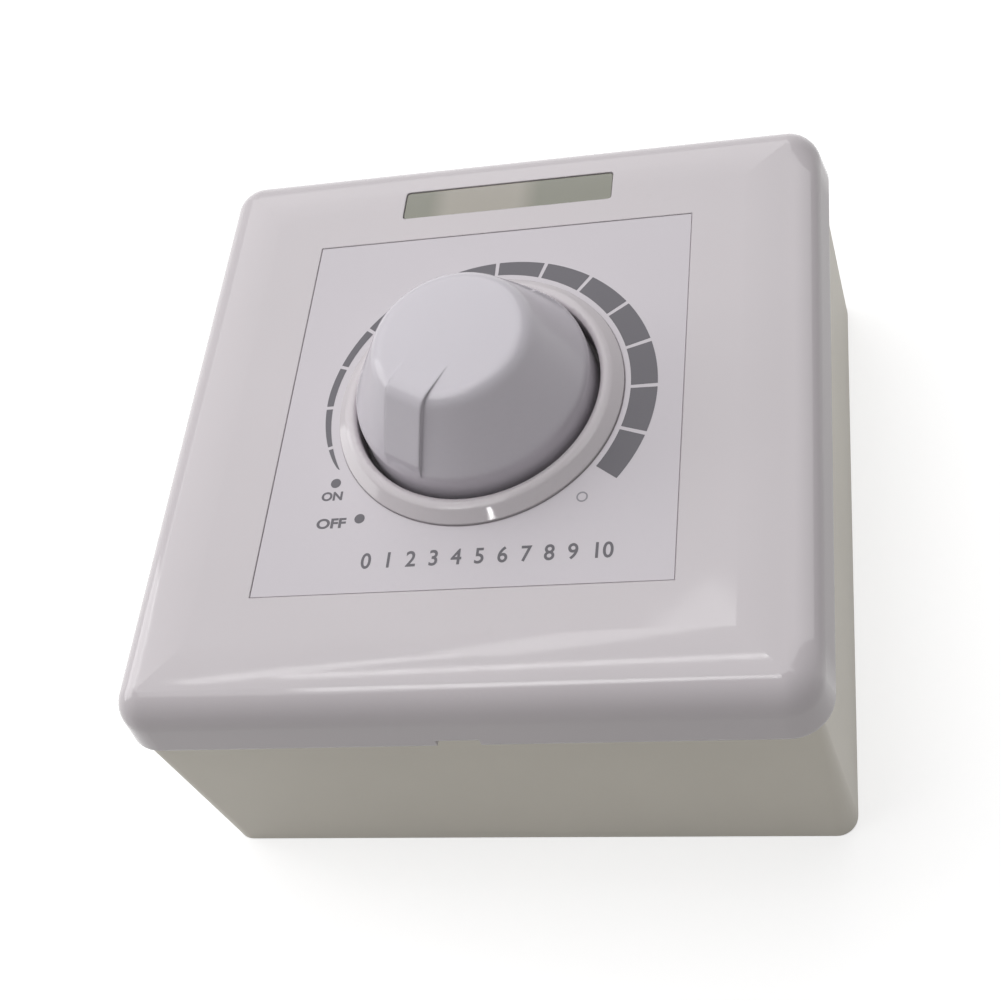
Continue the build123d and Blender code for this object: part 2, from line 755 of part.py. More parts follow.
with BuildPart() as terminal_cages:
    with BuildSketch(Plane.XZ.offset(-(cage_y + cage_depth / 2))):
        with Locations(*[(x, cage_top_z - cage_height / 2) for x in terminal_xs]):
            Rectangle(cage_width, cage_height)
            Rectangle(cage_width - 2 * cage_wall, cage_height - 2 * cage_wall, mode=Mode.SUBTRACT)
    extrude(amount=cage_depth)
    with BuildSketch(Plane.XY.offset(cage_top_z - cage_wall / 2)):
        with Locations(*cage_pins):
            Circle(pin_radius)
    extrude(amount=board_front_z + lead_stub - cage_top_z + cage_wall / 2)
    with BuildSketch(Plane.XY.offset(cage_bottom_z)):
        with Locations(*cage_pins):
            Circle(terminal_screw_radius + thread_clearance)
    extrude(amount=cage_wall, mode=Mode.SUBTRACT)

screw_seat_z = block_back_z + terminal_screw_recess + terminal_screw_head_height
terminal_screws = pan_screws(
    cage_pins, screw_seat_z, -1, terminal_screw_radius, cage_bottom_z + cage_height / 2 - screw_seat_z,
    terminal_screw_head_radius, terminal_screw_head_height, screwdriver_slot_width, cross=False,
)

# Glass fuse lying in two spring clips
fuse_z = board_front_z + fuse_lift + fuse_radius
with BuildPart() as fuse:
    with BuildSketch(Plane.YZ.offset(-fuse_length / 2)):
        with Locations((fuse_y, fuse_z)):
            Circle(fuse_radius)
    extrude(amount=fuse_length)
    with BuildSketch(Plane.YZ.offset(-fuse_length / 2 + fuse_cap_length)):
        with Locations((fuse_y, fuse_z)):
            Circle(fuse_radius)
            Circle(fuse_radius - fuse_cap_step, mode=Mode.SUBTRACT)
    extrude(amount=fuse_length - 2 * fuse_cap_length, mode=Mode.SUBTRACT)

clip_radius = fuse_radius + clip_gap
with BuildPart() as fuse_clips:
    for x in clip_xs:
        with BuildSketch(Plane.YZ.offset(x - clip_width / 2)):
            with Locations((fuse_y, fuse_z)):
                Circle(clip_radius + clip_thickness)
            with Locations((fuse_y, (board_front_z + fuse_z) / 2)):
                Rectangle(clip_foot_width, fuse_z - board_front_z)
            with Locations((fuse_y, fuse_z)):
                Circle(clip_radius, mode=Mode.SUBTRACT)
            with Locations((fuse_y, fuse_z + clip_radius)):
                Rectangle(clip_mouth_width, 2 * clip_radius, mode=Mode.SUBTRACT)
        extrude(amount=clip_width)
    with BuildSketch(Plane.XY.offset(board_front_z)):
        with Locations(*clip_pins):
            Circle(pin_radius)
    extrude(amount=-(board_thickness + lead_stub))


def boxed_part(place, size, lift, lead_places):
    """Upright moulded component on straight leads."""
    with BuildPart() as component:
        with BuildSketch(Plane.XY.offset(board_front_z + lift)):
            with Locations(place):
                Rectangle(size[0], size[1])
        extrude(amount=size[2])
        fillet(component.edges().filter_by(Axis.Z), min(size[0], size[1]) * 0.12)
        with BuildSketch(Plane.XY.offset(board_front_z + lift)):
            with Locations(*lead_places):
                Circle(lead_radius)
        extrude(amount=-(lift + board_thickness + lead_stub))
    return component.part


def axial_parts(xs, y, radius, length, reach):
    """Row of small tubular components lying along Y on bent leads."""
    axis_z = board_front_z + radius + axial_lift
    with BuildPart() as row:
        for x in xs:
            with BuildSketch(Plane.XZ.offset(-(y + length / 2))):
                with Locations((x, axis_z)):
                    Circle(radius)
            extrude(amount=length)
            for side in (-1, 1):
                with BuildLine() as lead:
                    FilletPolyline(
                        (x, y + side * (length / 2 - 0.3), axis_z),
                        (x, y + side * reach, axis_z),
                        (x, y + side * reach, board_back_z - lead_stub),
                        radius=lead_bend / 2,
                    )
                with BuildSketch(Plane(origin=lead.line @ 0, z_dir=lead.line % 0)):
                    Circle(lead_radius)
                sweep(path=lead.line)
    return row.part


film_capacitor = boxed_part(
    (film_capacitor_x, capacitor_y), film_capacitor_size, film_capacitor_lift, thin_leads[0:2]
)
transistor = boxed_part((transistor_x, transistor_y), transistor_size, transistor_lift, thin_leads[6:9])
resistors = axial_parts(resistor_xs, small_row_y, resistor_radius, resistor_length, resistor_lead)
diodes = axial_parts(diode_xs, small_row_y, diode_radius, diode_length, diode_lead)

with BuildPart() as electrolytic_capacitor:
    with BuildSketch(Plane.XY.offset(board_front_z)):
        with Locations((can_capacitor_x, capacitor_y)):
            Circle(can_capacitor_radius)
    extrude(amount=can_capacitor_height)
    fillet(electrolytic_capacitor.edges().group_by(Axis.Z)[-1], can_capacitor_radius * 0.12)
    with BuildSketch(Plane.XY.offset(board_front_z)):
        with Locations(*thin_leads[2:4]):
            Circle(lead_radius)
    extrude(amount=-(board_thickness + lead_stub))

varistor_z = board_front_z + varistor_lift + varistor_radius
with BuildPart() as varistor:
    with BuildSketch(Plane.YZ.offset(varistor_x - varistor_thickness / 2)):
        with Locations((0, varistor_z)):
            Circle(varistor_radius)
    extrude(amount=varistor_thickness)
    fillet(varistor.edges().filter_by(GeomType.CIRCLE), varistor_thickness * 0.3)
    with BuildSketch(Plane.XY.offset(varistor_z)):
        with Locations(*thin_leads[4:6]):
            Circle(lead_radius)
    extrude(amount=board_back_z - lead_stub - varistor_z)

# Indicator lamp on long leads, reaching through the frame to just under the lens
led_top_z = face_z - window_seat_depth - lens_flange_thickness - led_lens_clearance
led_base_z = led_top_z - led_flange_height - led_body_height
with BuildPart() as indicator_led:
    with BuildSketch(Plane.XY.offset(led_base_z)):
        with Locations((0, window_y)):
            Circle(led_flange_radius)
    extrude(amount=led_flange_height)
    with BuildSketch(Plane.XY.offset(led_base_z + led_flange_height)):
        with Locations((0, window_y)):
            Circle(led_radius)
    extrude(amount=led_body_height)
    fillet(indicator_led.edges().group_by(Axis.Z)[-1], led_radius * 0.8)

with BuildPart() as led_leads:
    with BuildSketch(Plane.XY.offset(board_back_z - lead_stub)):
        with Locations(*thin_leads[-2:]):
            Circle(lead_radius)
    extrude(amount=led_base_z - board_back_z + lead_stub)

# Potentiometer: flanged bushing, washer and nut clamp it to the frame
with BuildPart() as pot_bushing:
    with BuildSketch(Plane.XY.offset(rim_z - pot_flange_thickness)):
        Circle(pot_radius)
    extrude(amount=pot_flange_thickness)
    with BuildSketch(Plane.XY.offset(rim_z)):
        Circle(bushing_radius)
    extrude(amount=bushing_length)
    chamfer(pot_bushing.edges().group_by(Axis.Z)[-1], 0.3)
    with BuildSketch(Plane.XY.offset(rim_z)):
        with Locations((0, tab_distance)):
            Circle(tab_radius)
    extrude(amount=tab_height)
    with BuildSketch(Plane.XY.offset(rim_z - pot_flange_thickness)):
        Circle(shaft_radius + shaft_clearance)
    extrude(amount=pot_flange_thickness + bushing_length, mode=Mode.SUBTRACT)

with BuildPart() as pot_washer:
    with BuildSketch(Plane.XY.offset(frame_top_z)):
        Circle(washer_radius)
        Circle(bushing_radius + frame_hole_clearance, mode=Mode.SUBTRACT)
    extrude(amount=washer_thickness)

with BuildPart() as pot_nut:
    with BuildSketch(Plane.XY.offset(frame_top_z + washer_thickness)):
        RegularPolygon(nut_across_flats / 2, 6, major_radius=False)
        Circle(bushing_radius + thread_clearance, mode=Mode.SUBTRACT)
    extrude(amount=nut_thickness)

wafer_top_z = rim_z - pot_flange_thickness
wafer_bottom_z = wafer_top_z - wafer_thickness
with BuildPart() as pot_can:
    with BuildSketch(Plane.XY.offset(pot_rear_z)):
        Circle(pot_radius)
    extrude(amount=pot_can_depth)
    with BuildSketch(Plane.XY.offset(pot_rear_z + pot_can_wall)):
        Circle(pot_radius - pot_can_wall)
    extrude(amount=pot_can_depth - pot_can_wall, mode=Mode.SUBTRACT)
    with BuildSketch(Plane.XY.offset(pot_rear_z)):
        Circle(rotor_hub_radius + hub_clearance)
    extrude(amount=pot_can_wall, mode=Mode.SUBTRACT)
    notch_z = wafer_bottom_z - pot_terminal_thickness
    with BuildSketch(Plane.XY.offset(notch_z)):
        with Locations((0, -pot_radius)):
            Rectangle(wafer_tab_width + 2 * wafer_gap, pot_radius)
    extrude(amount=wafer_top_z - notch_z, mode=Mode.SUBTRACT)

with BuildPart() as resistive_wafer:
    with BuildSketch(Plane.XY.offset(wafer_bottom_z)):
        Circle(pot_radius - pot_can_wall - wafer_gap)
        with Locations((0, -(pot_radius + wafer_tab_reach) / 2)):
            Rectangle(wafer_tab_width, pot_radius + wafer_tab_reach)
        Circle(wafer_inner_radius, mode=Mode.SUBTRACT)
    extrude(amount=wafer_thickness)

with BuildPart() as pot_terminals:
    leg_inner_y = pot_terminal_y + pot_terminal_thickness / 2
    leg_outer_y = pot_terminal_y - pot_terminal_thickness / 2
    leg_end_z = board_back_z - lead_stub
    for x in pot_terminal_xs:
        with BuildSketch(Plane.YZ.offset(x)):
            with BuildLine():
                Polyline(
                    (-pot_radius - wafer_gap, wafer_bottom_z),
                    (leg_outer_y, wafer_bottom_z),
                    (leg_outer_y, leg_end_z),
                    (leg_inner_y, leg_end_z),
                    (leg_inner_y, wafer_bottom_z - pot_terminal_thickness),
                    (-pot_radius - wafer_gap, wafer_bottom_z - pot_terminal_thickness),
                    close=True,
                )
            make_face()
        extrude(amount=pot_terminal_width / 2, both=True)

# Switch case behind the potentiometer, with its fixed contacts and the rocker's pin
switch_floor_z = board_front_z + switch_floor
rotor_top_z = wafer_bottom_z - rotor_gap
hub_end_z = pot_rear_z - hub_reach
peg_end_z = hub_end_z - drive_peg_length
rocker_top_z = peg_end_z - rocker_peg_clearance
strip_top_z = switch_floor_z + common_strip_thickness
with BuildPart() as switch_case:
    with BuildSketch(Plane.XY.offset(board_front_z)):
        Circle(pot_radius)
    extrude(amount=switch_depth)
    with BuildSketch(Plane.XY.offset(switch_floor_z)):
        Circle(pot_radius - switch_wall)
    extrude(amount=switch_depth - switch_floor, mode=Mode.SUBTRACT)
    with BuildSketch(Plane.XY.offset(board_front_z)):
        with Locations(*switch_pins):
            Circle(pin_radius + lead_hole_clearance)
    extrude(amount=switch_floor, mode=Mode.SUBTRACT)
    with BuildSketch(Plane.XY.offset(switch_floor_z - switch_floor / 2)):
        with Locations((rocker_pivot.X, rocker_pivot.Y)):
            Circle(rocker_pin_radius + lead_hole_clearance)
    extrude(amount=switch_floor / 2, mode=Mode.SUBTRACT)

with BuildPart() as switch_terminals:
    with BuildSketch(Plane.XY.offset(switch_floor_z)):
        with Locations(switch_pins[0]):
            Circle(contact_post_radius)
    extrude(amount=rocker_top_z - switch_floor_z)
    with BuildSketch(rocker_plane(switch_floor_z, rocker_throw / 2)):
        Circle(rocker_hub_radius)
        with Locations((0, -common_leg_offset / 2)):
            SlotCenterToCenter(common_leg_offset, common_strip_width, rotation=90)
        Circle(rocker_pin_radius + lead_hole_clearance, mode=Mode.SUBTRACT)
    extrude(amount=common_strip_thickness)
    with BuildSketch(Plane.XY.offset(switch_floor_z)):
        with Locations(*switch_pins):
            Circle(pin_radius)
    extrude(amount=-(switch_floor + board_thickness + lead_stub))

with BuildPart() as rocker_pin:
    with BuildSketch(Plane.XY.offset(switch_floor_z - switch_floor / 2)):
        with Locations((rocker_pivot.X, rocker_pivot.Y)):
            Circle(rocker_pin_radius)
    extrude(amount=rocker_top_z + rocker_pin_reach - switch_floor_z + switch_floor / 2)

# Rocker: a hub on the pin, a forked arm towards the shaft and a bar that carries the bridge
with BuildPart() as switch_rocker:
    with BuildSketch(rocker_plane(rocker_top_z, rocker_throw)):
        Circle(rocker_hub_radius)
        with Locations((-rocker_arm_length / 2, 0)):
            Rectangle(rocker_arm_length, rocker_arm_width)
        Rectangle(rocker_bar_width, 2 * rocker_bar_length)
        with Locations((-rocker_arm_length + rocker_notch_depth / 2, 0)):
            Rectangle(rocker_notch_depth, 2 * (drive_peg_radius + rocker_notch_gap), mode=Mode.SUBTRACT)
    extrude(amount=-rocker_thickness)
    with BuildSketch(rocker_plane(rocker_top_z, rocker_throw)):
        Circle(rocker_hub_radius)
    extrude(amount=strip_top_z + rocker_seat_gap - rocker_top_z)
    with BuildSketch(rocker_plane(rocker_top_z, rocker_throw)):
        Circle(rocker_pin_radius + rocker_pin_clearance)
    extrude(amount=strip_top_z - rocker_top_z, mode=Mode.SUBTRACT)

with BuildPart() as switch_bridge:
    with BuildSketch(rocker_plane(rocker_top_z, rocker_throw)):
        bridge_length = rocker_bar_length - rocker_hub_radius
        with Locations((-(rocker_bar_width + bridge_thickness) / 2, rocker_bar_length - bridge_length / 2)):
            Rectangle(bridge_thickness, bridge_length)
    extrude(amount=-rocker_thickness)

# Turning pieces: shaft, rotor with its drive peg, wiper, knob and the clip in its bore
shaft_top_z = rim_z + shaft_length
shaft_base_z = hub_end_z + hub_floor
flat_start_z = shaft_top_z - shaft_engagement
with BuildPart() as pot_shaft:
    with BuildSketch(turned_plane(shaft_base_z)):
        Circle(shaft_radius)
    extrude(amount=shaft_top_z - shaft_base_z)
    chamfer(pot_shaft.edges().group_by(Axis.Z)[-1], 0.4)
    with BuildSketch(turned_plane(flat_start_z)):
        with Locations((shaft_radius - shaft_flat_depth / 2, 0)):
            Rectangle(shaft_flat_depth, 2 * shaft_radius)
    extrude(amount=shaft_engagement, mode=Mode.SUBTRACT)

with BuildPart() as pot_rotor:
    with BuildSketch(turned_plane(rotor_top_z)):
        Circle(rotor_radius)
    extrude(amount=-rotor_thickness)
    with BuildSketch(turned_plane(hub_end_z)):
        Circle(rotor_hub_radius)
    extrude(amount=rotor_top_z - rotor_thickness - hub_end_z)
    with BuildSketch(turned_plane(hub_end_z)):
        with Locations((drive_peg_circle, 0)):
            Circle(drive_peg_radius)
    extrude(amount=-drive_peg_length)
    with BuildSketch(turned_plane(shaft_base_z)):
        Circle(shaft_radius + knob_bore_clearance)
    extrude(amount=rotor_top_z - shaft_base_z, mode=Mode.SUBTRACT)

with BuildPart() as wiper_contact:
    with BuildSketch(turned_plane(rotor_top_z)):
        Circle(wiper_radius)
        Circle(shaft_radius + wiper_shaft_gap, mode=Mode.SUBTRACT)
    extrude(amount=wiper_thickness)
    finger_radius = (wiper_radius + wafer_inner_radius) / 2
    with BuildSketch(turned_plane(rotor_top_z + wiper_thickness)):
        with PolarLocations(finger_radius, 2):
            Rectangle(wiper_radius - wafer_inner_radius, wiper_finger_width)
    extrude(amount=rotor_gap - wiper_thickness - wiper_gap)

skirt_top_z = knob_base_z + knob_skirt_height
cone_top_z = knob_top_z - knob_dome
roof_z = knob_top_z - knob_roof
boss_end_z = bushing_top_z + knob_boss_gap


def cone_radius(height):
    """Radius of the knob's tapered side at a height."""
    share = (height - skirt_top_z) / (cone_top_z - skirt_top_z)
    return knob_skirt_top_radius + share * (knob_top_radius - knob_skirt_top_radius)


with BuildPart() as knob:
    with BuildSketch(Plane.XZ) as knob_side:
        with BuildLine():
            TangentArc((0, knob_top_z), (knob_top_radius, cone_top_z), tangent=(1, 0))
            Polyline(
                (knob_top_radius, cone_top_z),
                (knob_skirt_top_radius, skirt_top_z),
                (knob_base_radius, knob_base_z),
                (0, knob_base_z),
                (0, knob_top_z),
            )
        make_face()
        top_corner = knob_side.vertices().sort_by_distance((knob_top_radius, cone_top_z))[0]
        fillet(top_corner, knob_edge_radius)
        skirt_corner = knob_side.vertices().sort_by_distance((knob_skirt_top_radius, skirt_top_z))[0]
        fillet(skirt_corner, knob_break_radius)
    revolve(axis=Axis.Z)
    pointer_side = Plane(
        origin=(0, 0, 0),
        x_dir=(sin(pointer_turn), cos(pointer_turn), 0),
        z_dir=(cos(pointer_turn), -sin(pointer_turn), 0),
    )
    pointer_low_z = face_z + pointer_start
    pointer_high_z = knob_top_z - pointer_below_top
    with BuildSketch(pointer_side) as pointer_outline:
        with BuildLine():
            Polyline(
                (cone_radius(pointer_low_z) - pointer_root, pointer_low_z),
                (cone_radius(pointer_low_z) - pointer_proud, pointer_low_z),
                (cone_radius(pointer_low_z + pointer_fade) + pointer_proud, pointer_low_z + pointer_fade),
                (cone_radius(pointer_high_z) + pointer_proud, pointer_high_z),
                (knob_top_radius / 3, pointer_high_z),
                (knob_top_radius / 3, pointer_high_z - pointer_root),
                (cone_radius(pointer_high_z - pointer_root) - pointer_root, pointer_high_z - pointer_root),
                close=True,
            )
        make_face()
        corner = (cone_radius(pointer_high_z) + pointer_proud, pointer_high_z)
        fillet(pointer_outline.vertices().sort_by_distance(corner)[0], knob_edge_radius)
    extrude(amount=pointer_width / 2, both=True)
    with BuildSketch(Plane.XZ):
        with BuildLine():
            Polyline(
                (knob_boss_radius, knob_base_z),
                (knob_base_radius - knob_wall, knob_base_z),
                (knob_skirt_top_radius - knob_wall, skirt_top_z),
                (cone_radius(roof_z) - knob_wall, roof_z),
                (knob_boss_radius, roof_z),
                close=True,
            )
        make_face()
    revolve(axis=Axis.Z, mode=Mode.SUBTRACT)
    rib_low_z = roof_z - knob_rib_depth
    for rib_plane in (Plane.XZ, Plane.YZ):
        with BuildSketch(rib_plane):
            with BuildLine():
                Polyline(
                    (knob_boss_radius - knob_wall / 2, roof_z),
                    (cone_radius(roof_z) - knob_wall / 2, roof_z),
                    (cone_radius(rib_low_z) - knob_wall / 2, rib_low_z),
                    (knob_boss_radius - knob_wall / 2, rib_low_z),
                    close=True,
                )
            make_face()
            mirror(about=Plane.YZ)
        extrude(amount=knob_rib_thickness / 2, both=True)
    with BuildSketch(Plane.XY.offset(knob_base_z)):
        Circle(knob_boss_radius)
    extrude(amount=boss_end_z - knob_base_z, mode=Mode.SUBTRACT)
    bore_radius = shaft_radius + knob_bore_clearance
    with BuildSketch(turned_plane(boss_end_z)):
        Circle(bore_radius)
    extrude(amount=flat_start_z - boss_end_z + bore_end_gap, mode=Mode.SUBTRACT)
    bore_flat = shaft_radius - shaft_flat_depth + spring_clip_thickness + 2 * knob_bore_clearance
    with BuildSketch(turned_plane(flat_start_z)):
        Circle(bore_radius)
        with Locations((bore_flat + bore_radius, 0)):
            Rectangle(2 * bore_radius, 2 * bore_radius, mode=Mode.SUBTRACT)
    extrude(amount=shaft_engagement + bore_end_gap, mode=Mode.SUBTRACT)

with BuildPart() as knob_spring_clip:
    with BuildSketch(turned_plane(shaft_top_z - (shaft_engagement + spring_clip_length) / 2)):
        clip_x = shaft_radius - shaft_flat_depth + knob_bore_clearance + spring_clip_thickness / 2
        with Locations((clip_x, 0)):
            Rectangle(spring_clip_thickness, spring_clip_width)
    extrude(amount=spring_clip_length)

pieces = {
    "back_box": back_box.part,
    "box_inserts": box_inserts.part,
    "front_cover": front_cover.part,
    "scale_label": scale_label.part,
    "indicator_window": indicator_window.part,
    "mounting_frame": mounting_frame.part,
    "fixing_screws": fixing_screws,
    "module_case": module_case.part,
    "case_screws": case_screws,
    "circuit_board": circuit_board.part,
    "board_screws": board_screws,
    "terminal_block": terminal_block.part,
    "terminal_cages": terminal_cages.part,
    "terminal_screws": terminal_screws,
    "fuse": fuse.part,
    "fuse_clips": fuse_clips.part,
    "film_capacitor": film_capacitor,
    "electrolytic_capacitor": electrolytic_capacitor.part,
    "varistor": varistor.part,
    "transistor": transistor,
    "resistors": resistors,
    "diodes": diodes,
    "indicator_led": indicator_led.part,
    "led_leads": led_leads.part,
    "pot_bushing": pot_bushing.part,
    "pot_washer": pot_washer.part,
    "pot_nut": pot_nut.part,
    "pot_can": pot_can.part,
    "resistive_wafer": resistive_wafer.part,
    "pot_terminals": pot_terminals.part,
    "switch_case": switch_case.part,
    "switch_terminals": switch_terminals.part,
    "rocker_pin": rocker_pin.part,
    "switch_rocker": switch_rocker.part,
    "switch_bridge": switch_bridge.part,
    "pot_shaft": pot_shaft.part,
    "pot_rotor": pot_rotor.part,
    "wiper_contact": wiper_contact.part,
    "knob": knob.part,
    "knob_spring_clip": knob_spring_clip.part,
}
for name, piece in pieces.items():
    save(piece, name)
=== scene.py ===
# %% [markdown]
# # A rotary dimmer module, dressed over its CAD frame
#
# The solids of the dimmer are already modelled to size: a back box, a glossy cover, a knob, and behind them
# a support frame with the electronics. This lesson loads them, sets up a photographer's table round them,
# prints the scale on the label and gives every piece the finish that its real material has. The solids
# could be modelled again here, but then the joints and the fit would be lost, so they are only dressed.

# %% Load the frame
from math import atan2, cos, pi, radians, sin, sqrt

import bmesh
import bpy
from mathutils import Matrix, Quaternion, Vector


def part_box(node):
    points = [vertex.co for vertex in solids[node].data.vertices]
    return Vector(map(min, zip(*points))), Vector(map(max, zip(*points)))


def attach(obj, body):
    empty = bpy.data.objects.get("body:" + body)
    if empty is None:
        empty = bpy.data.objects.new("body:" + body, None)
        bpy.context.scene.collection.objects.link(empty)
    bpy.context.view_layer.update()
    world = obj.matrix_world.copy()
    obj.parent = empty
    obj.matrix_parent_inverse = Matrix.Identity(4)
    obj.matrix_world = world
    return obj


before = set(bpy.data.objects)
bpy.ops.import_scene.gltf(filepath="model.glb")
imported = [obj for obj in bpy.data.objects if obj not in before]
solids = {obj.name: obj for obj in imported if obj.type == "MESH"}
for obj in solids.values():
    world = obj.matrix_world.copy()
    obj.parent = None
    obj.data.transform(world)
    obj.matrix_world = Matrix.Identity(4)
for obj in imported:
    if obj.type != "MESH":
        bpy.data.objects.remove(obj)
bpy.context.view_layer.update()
mm = 0.001

# %% [markdown]
# ## The camera
#
# The picture to match was taken from close above the lower right corner, so near that the square plate
# looks wider at the bottom. A camera can be placed by eye, but a position, the point that the lens looks at
# and a roll say the same thing in three values that can be read. The picture was cut out off centre, which
# a small lens shift repeats without bending any straight line.

# %% Place the camera
camera_place = Vector((57.38, -108.78, 194.15)) * mm
camera_target = Vector((15.99, -12.553, 42.0)) * mm
camera_roll = radians(-22.9)

camera = bpy.data.objects.new("camera", bpy.data.cameras.new("camera"))
bpy.context.scene.collection.objects.link(camera)
camera.rotation_mode = "QUATERNION"
camera.location = camera_place
camera.rotation_quaternion = (
    (camera_target - camera_place).to_track_quat("-Z", "Y") @ Quaternion((0, 0, 1), camera_roll)
)
camera.data.sensor_width = 36
camera.data.lens = 54.71
camera.data.shift_x = -0.0943
camera.data.shift_y = -0.0272
camera.data.clip_start = 0.01
bpy.context.scene.camera = camera
bpy.context.scene.view_settings.view_transform = "Standard"
print("camera axes", [[round(v, 4) for v in row] for row in camera.rotation_quaternion.to_matrix()])

# %% [markdown]
# ## Small helpers for node trees
#
# Every finish below is a little network of nodes, and wiring each one by hand takes many lines, so a few
# helpers do it. The first adds any node and sets or links its sockets. The others add the kinds that come
# up again and again: a sum, a stretched range, clouds of noise, a blend of two colours. They hold no look
# of their own.

# %% Add a node and wire it
def add_node(tree, kind, feeds=None, **settings):
    """A node of that kind. feeds gives each socket a plain value or another node's output."""
    node = tree.nodes.new(kind)
    for key, value in settings.items():
        setattr(node, key, value)
    for key, value in (feeds or {}).items():
        if isinstance(value, bpy.types.NodeSocket):
            tree.links.new(value, node.inputs[key])
        else:
            node.inputs[key].default_value = value
    return node


def reckon(tree, operation, *values):
    """The result of a Math node, from plain numbers or other nodes' outputs."""
    return add_node(tree, "ShaderNodeMath", dict(enumerate(values)), operation=operation).outputs[0]


def stretch_range(tree, value, low, high, at_low=0.0, at_high=1.0, **settings):
    """at_low where the value is low or less, at_high where it is high or more, and a slope between."""
    feeds = {0: value, 1: low, 2: high, 3: at_low, 4: at_high}
    return add_node(tree, "ShaderNodeMapRange", feeds, **settings).outputs[0]


def object_place(tree):
    """Where a point lies on the object, in metres, whichever way the camera looks."""
    return add_node(tree, "ShaderNodeTexCoord").outputs["Object"]


def noise(tree, where, scale, detail):
    """Soft random clouds between 0 and 1. A larger scale makes smaller clouds."""
    feeds = {"Vector": where, "Scale": scale, "Detail": detail}
    return add_node(tree, "ShaderNodeTexNoise", feeds).outputs[0]


def blend_colours(tree, share, first, second):
    """The first colour where share is 0, the second where it is 1."""
    return add_node(tree, "ShaderNodeMix", {0: share, 6: first, 7: second}, data_type="RGBA").outputs[2]


helpers = (add_node, reckon, stretch_range, object_place, noise, blend_colours)
print("helpers", [helper.__name__ for helper in helpers])

# %% [markdown]
# A finish is a material whose Principled shader does the work. Values that are the same all over go
# straight on the shader. Only colour, roughness and normal change from place to place, so those three are
# linked. Colours are easiest to note down as a screen shows them, and are turned into amounts of light here.

# %% Open a finish
def open_finish(name, **plain):
    """A new material, its node tree and its Principled shader, with the plain values set on it."""
    finish = bpy.data.materials.new(name)
    finish.use_nodes = True
    shader = finish.node_tree.nodes["Principled BSDF"]
    for key, value in plain.items():
        shader.inputs[key.replace("_", " ")].default_value = value
    return finish, finish.node_tree, shader


def wire_look(tree, shader, colour, roughness, normal):
    """The three values that change over a surface, linked to its shader."""
    tree.links.new(colour, shader.inputs["Base Color"])
    tree.links.new(roughness, shader.inputs["Roughness"])
    tree.links.new(normal, shader.inputs["Normal"])


def from_screen(red, green, blue):
    """A colour as a screen shows it, 0 to 255 each, turned into the light that it stands for."""
    shares = [level / 255 for level in (red, green, blue)]
    return (*[share / 12.92 if share <= 0.04045 else ((share + 0.055) / 1.055) ** 2.4 for share in shares], 1)


print("the cover's colour as light", [round(v, 3) for v in from_screen(211, 204, 208)])

# %% [markdown]
# ## The table and the light round it
#
# The object stands on a pale table. The camera, mirrors and clear plastics see the sky and the table as
# white, which gives the white background, while the light that lands on the object comes from a dimmer sky,
# so nothing is washed out.

# %% White for the eye, soft grey for the light
white = (1, 1, 1, 1)
sky_level = 0.20
world = bpy.data.worlds.new("studio")
bpy.context.scene.world = world
world.use_nodes = True
sky = world.node_tree
sky.nodes.clear()


def seen_directly(tree):
    """1 where the camera, a mirror or a clear piece looks, 0 for light that spreads between surfaces."""
    path = add_node(tree, "ShaderNodeLightPath").outputs
    either = reckon(tree, "MAXIMUM", path["Is Camera Ray"], path["Is Glossy Ray"])
    return reckon(tree, "MAXIMUM", either, path["Is Transmission Ray"])


soft_sky = add_node(sky, "ShaderNodeBackground", {"Color": white, "Strength": sky_level}).outputs[0]
white_sky = add_node(sky, "ShaderNodeBackground", {"Color": white, "Strength": 1.0}).outputs[0]
sky_mix = add_node(sky, "ShaderNodeMixShader", {0: seen_directly(sky), 1: soft_sky, 2: white_sky})
add_node(sky, "ShaderNodeOutputWorld", {"Surface": sky_mix.outputs[0]})
print("sky level", sky_level)

# %% [markdown]
# The table top is one flat sheet, five metres wide. It lies a twentieth of a millimetre below the box,
# because two faces at the same height would flicker. Much of the brightness that the eye sees is a glow of
# its own. The rest is lit by the lamps, so the object's shadow stays on it.

# %% The table top
table_half, table_gap, table_glow = 2.5, 0.05 * mm, 0.66
table_bm = bmesh.new()
bmesh.ops.create_grid(table_bm, x_segments=1, y_segments=1, size=table_half)
bmesh.ops.translate(table_bm, verts=table_bm.verts[:], vec=(0, 0, -table_gap))
table_mesh = bpy.data.meshes.new("table_top")
table_bm.to_mesh(table_mesh)
table_bm.free()
table_top = bpy.data.objects.new("table_top", table_mesh)
bpy.context.scene.collection.objects.link(table_top)

table_finish, tree, shader = open_finish("pale_table")
table_grain = add_node(tree, "ShaderNodeTexNoise", {"Scale": 60.0, "Detail": 2.0}).outputs[0]
table_tone = stretch_range(tree, table_grain, 0.0, 1.0, 0.60, 0.63)
lit_part = add_node(tree, "ShaderNodeBsdfDiffuse", {"Color": table_tone}).outputs[0]
glow_part = add_node(tree, "ShaderNodeEmission", {"Color": white, "Strength": table_glow}).outputs[0]
for_the_eye = add_node(tree, "ShaderNodeAddShader", {0: lit_part, 1: glow_part}).outputs[0]
for_the_light = add_node(tree, "ShaderNodeBsdfDiffuse", {"Color": (0.66, 0.65, 0.63, 1)}).outputs[0]
table_mix = add_node(tree, "ShaderNodeMixShader", {0: seen_directly(tree), 1: for_the_light, 2: for_the_eye})
tree.links.new(table_mix.outputs[0], tree.nodes["Material Output"].inputs["Surface"])
tree.nodes.remove(shader)
table_mesh.materials.append(table_finish)
print("table", [round(v, 2) for v in table_top.dimensions], "m")

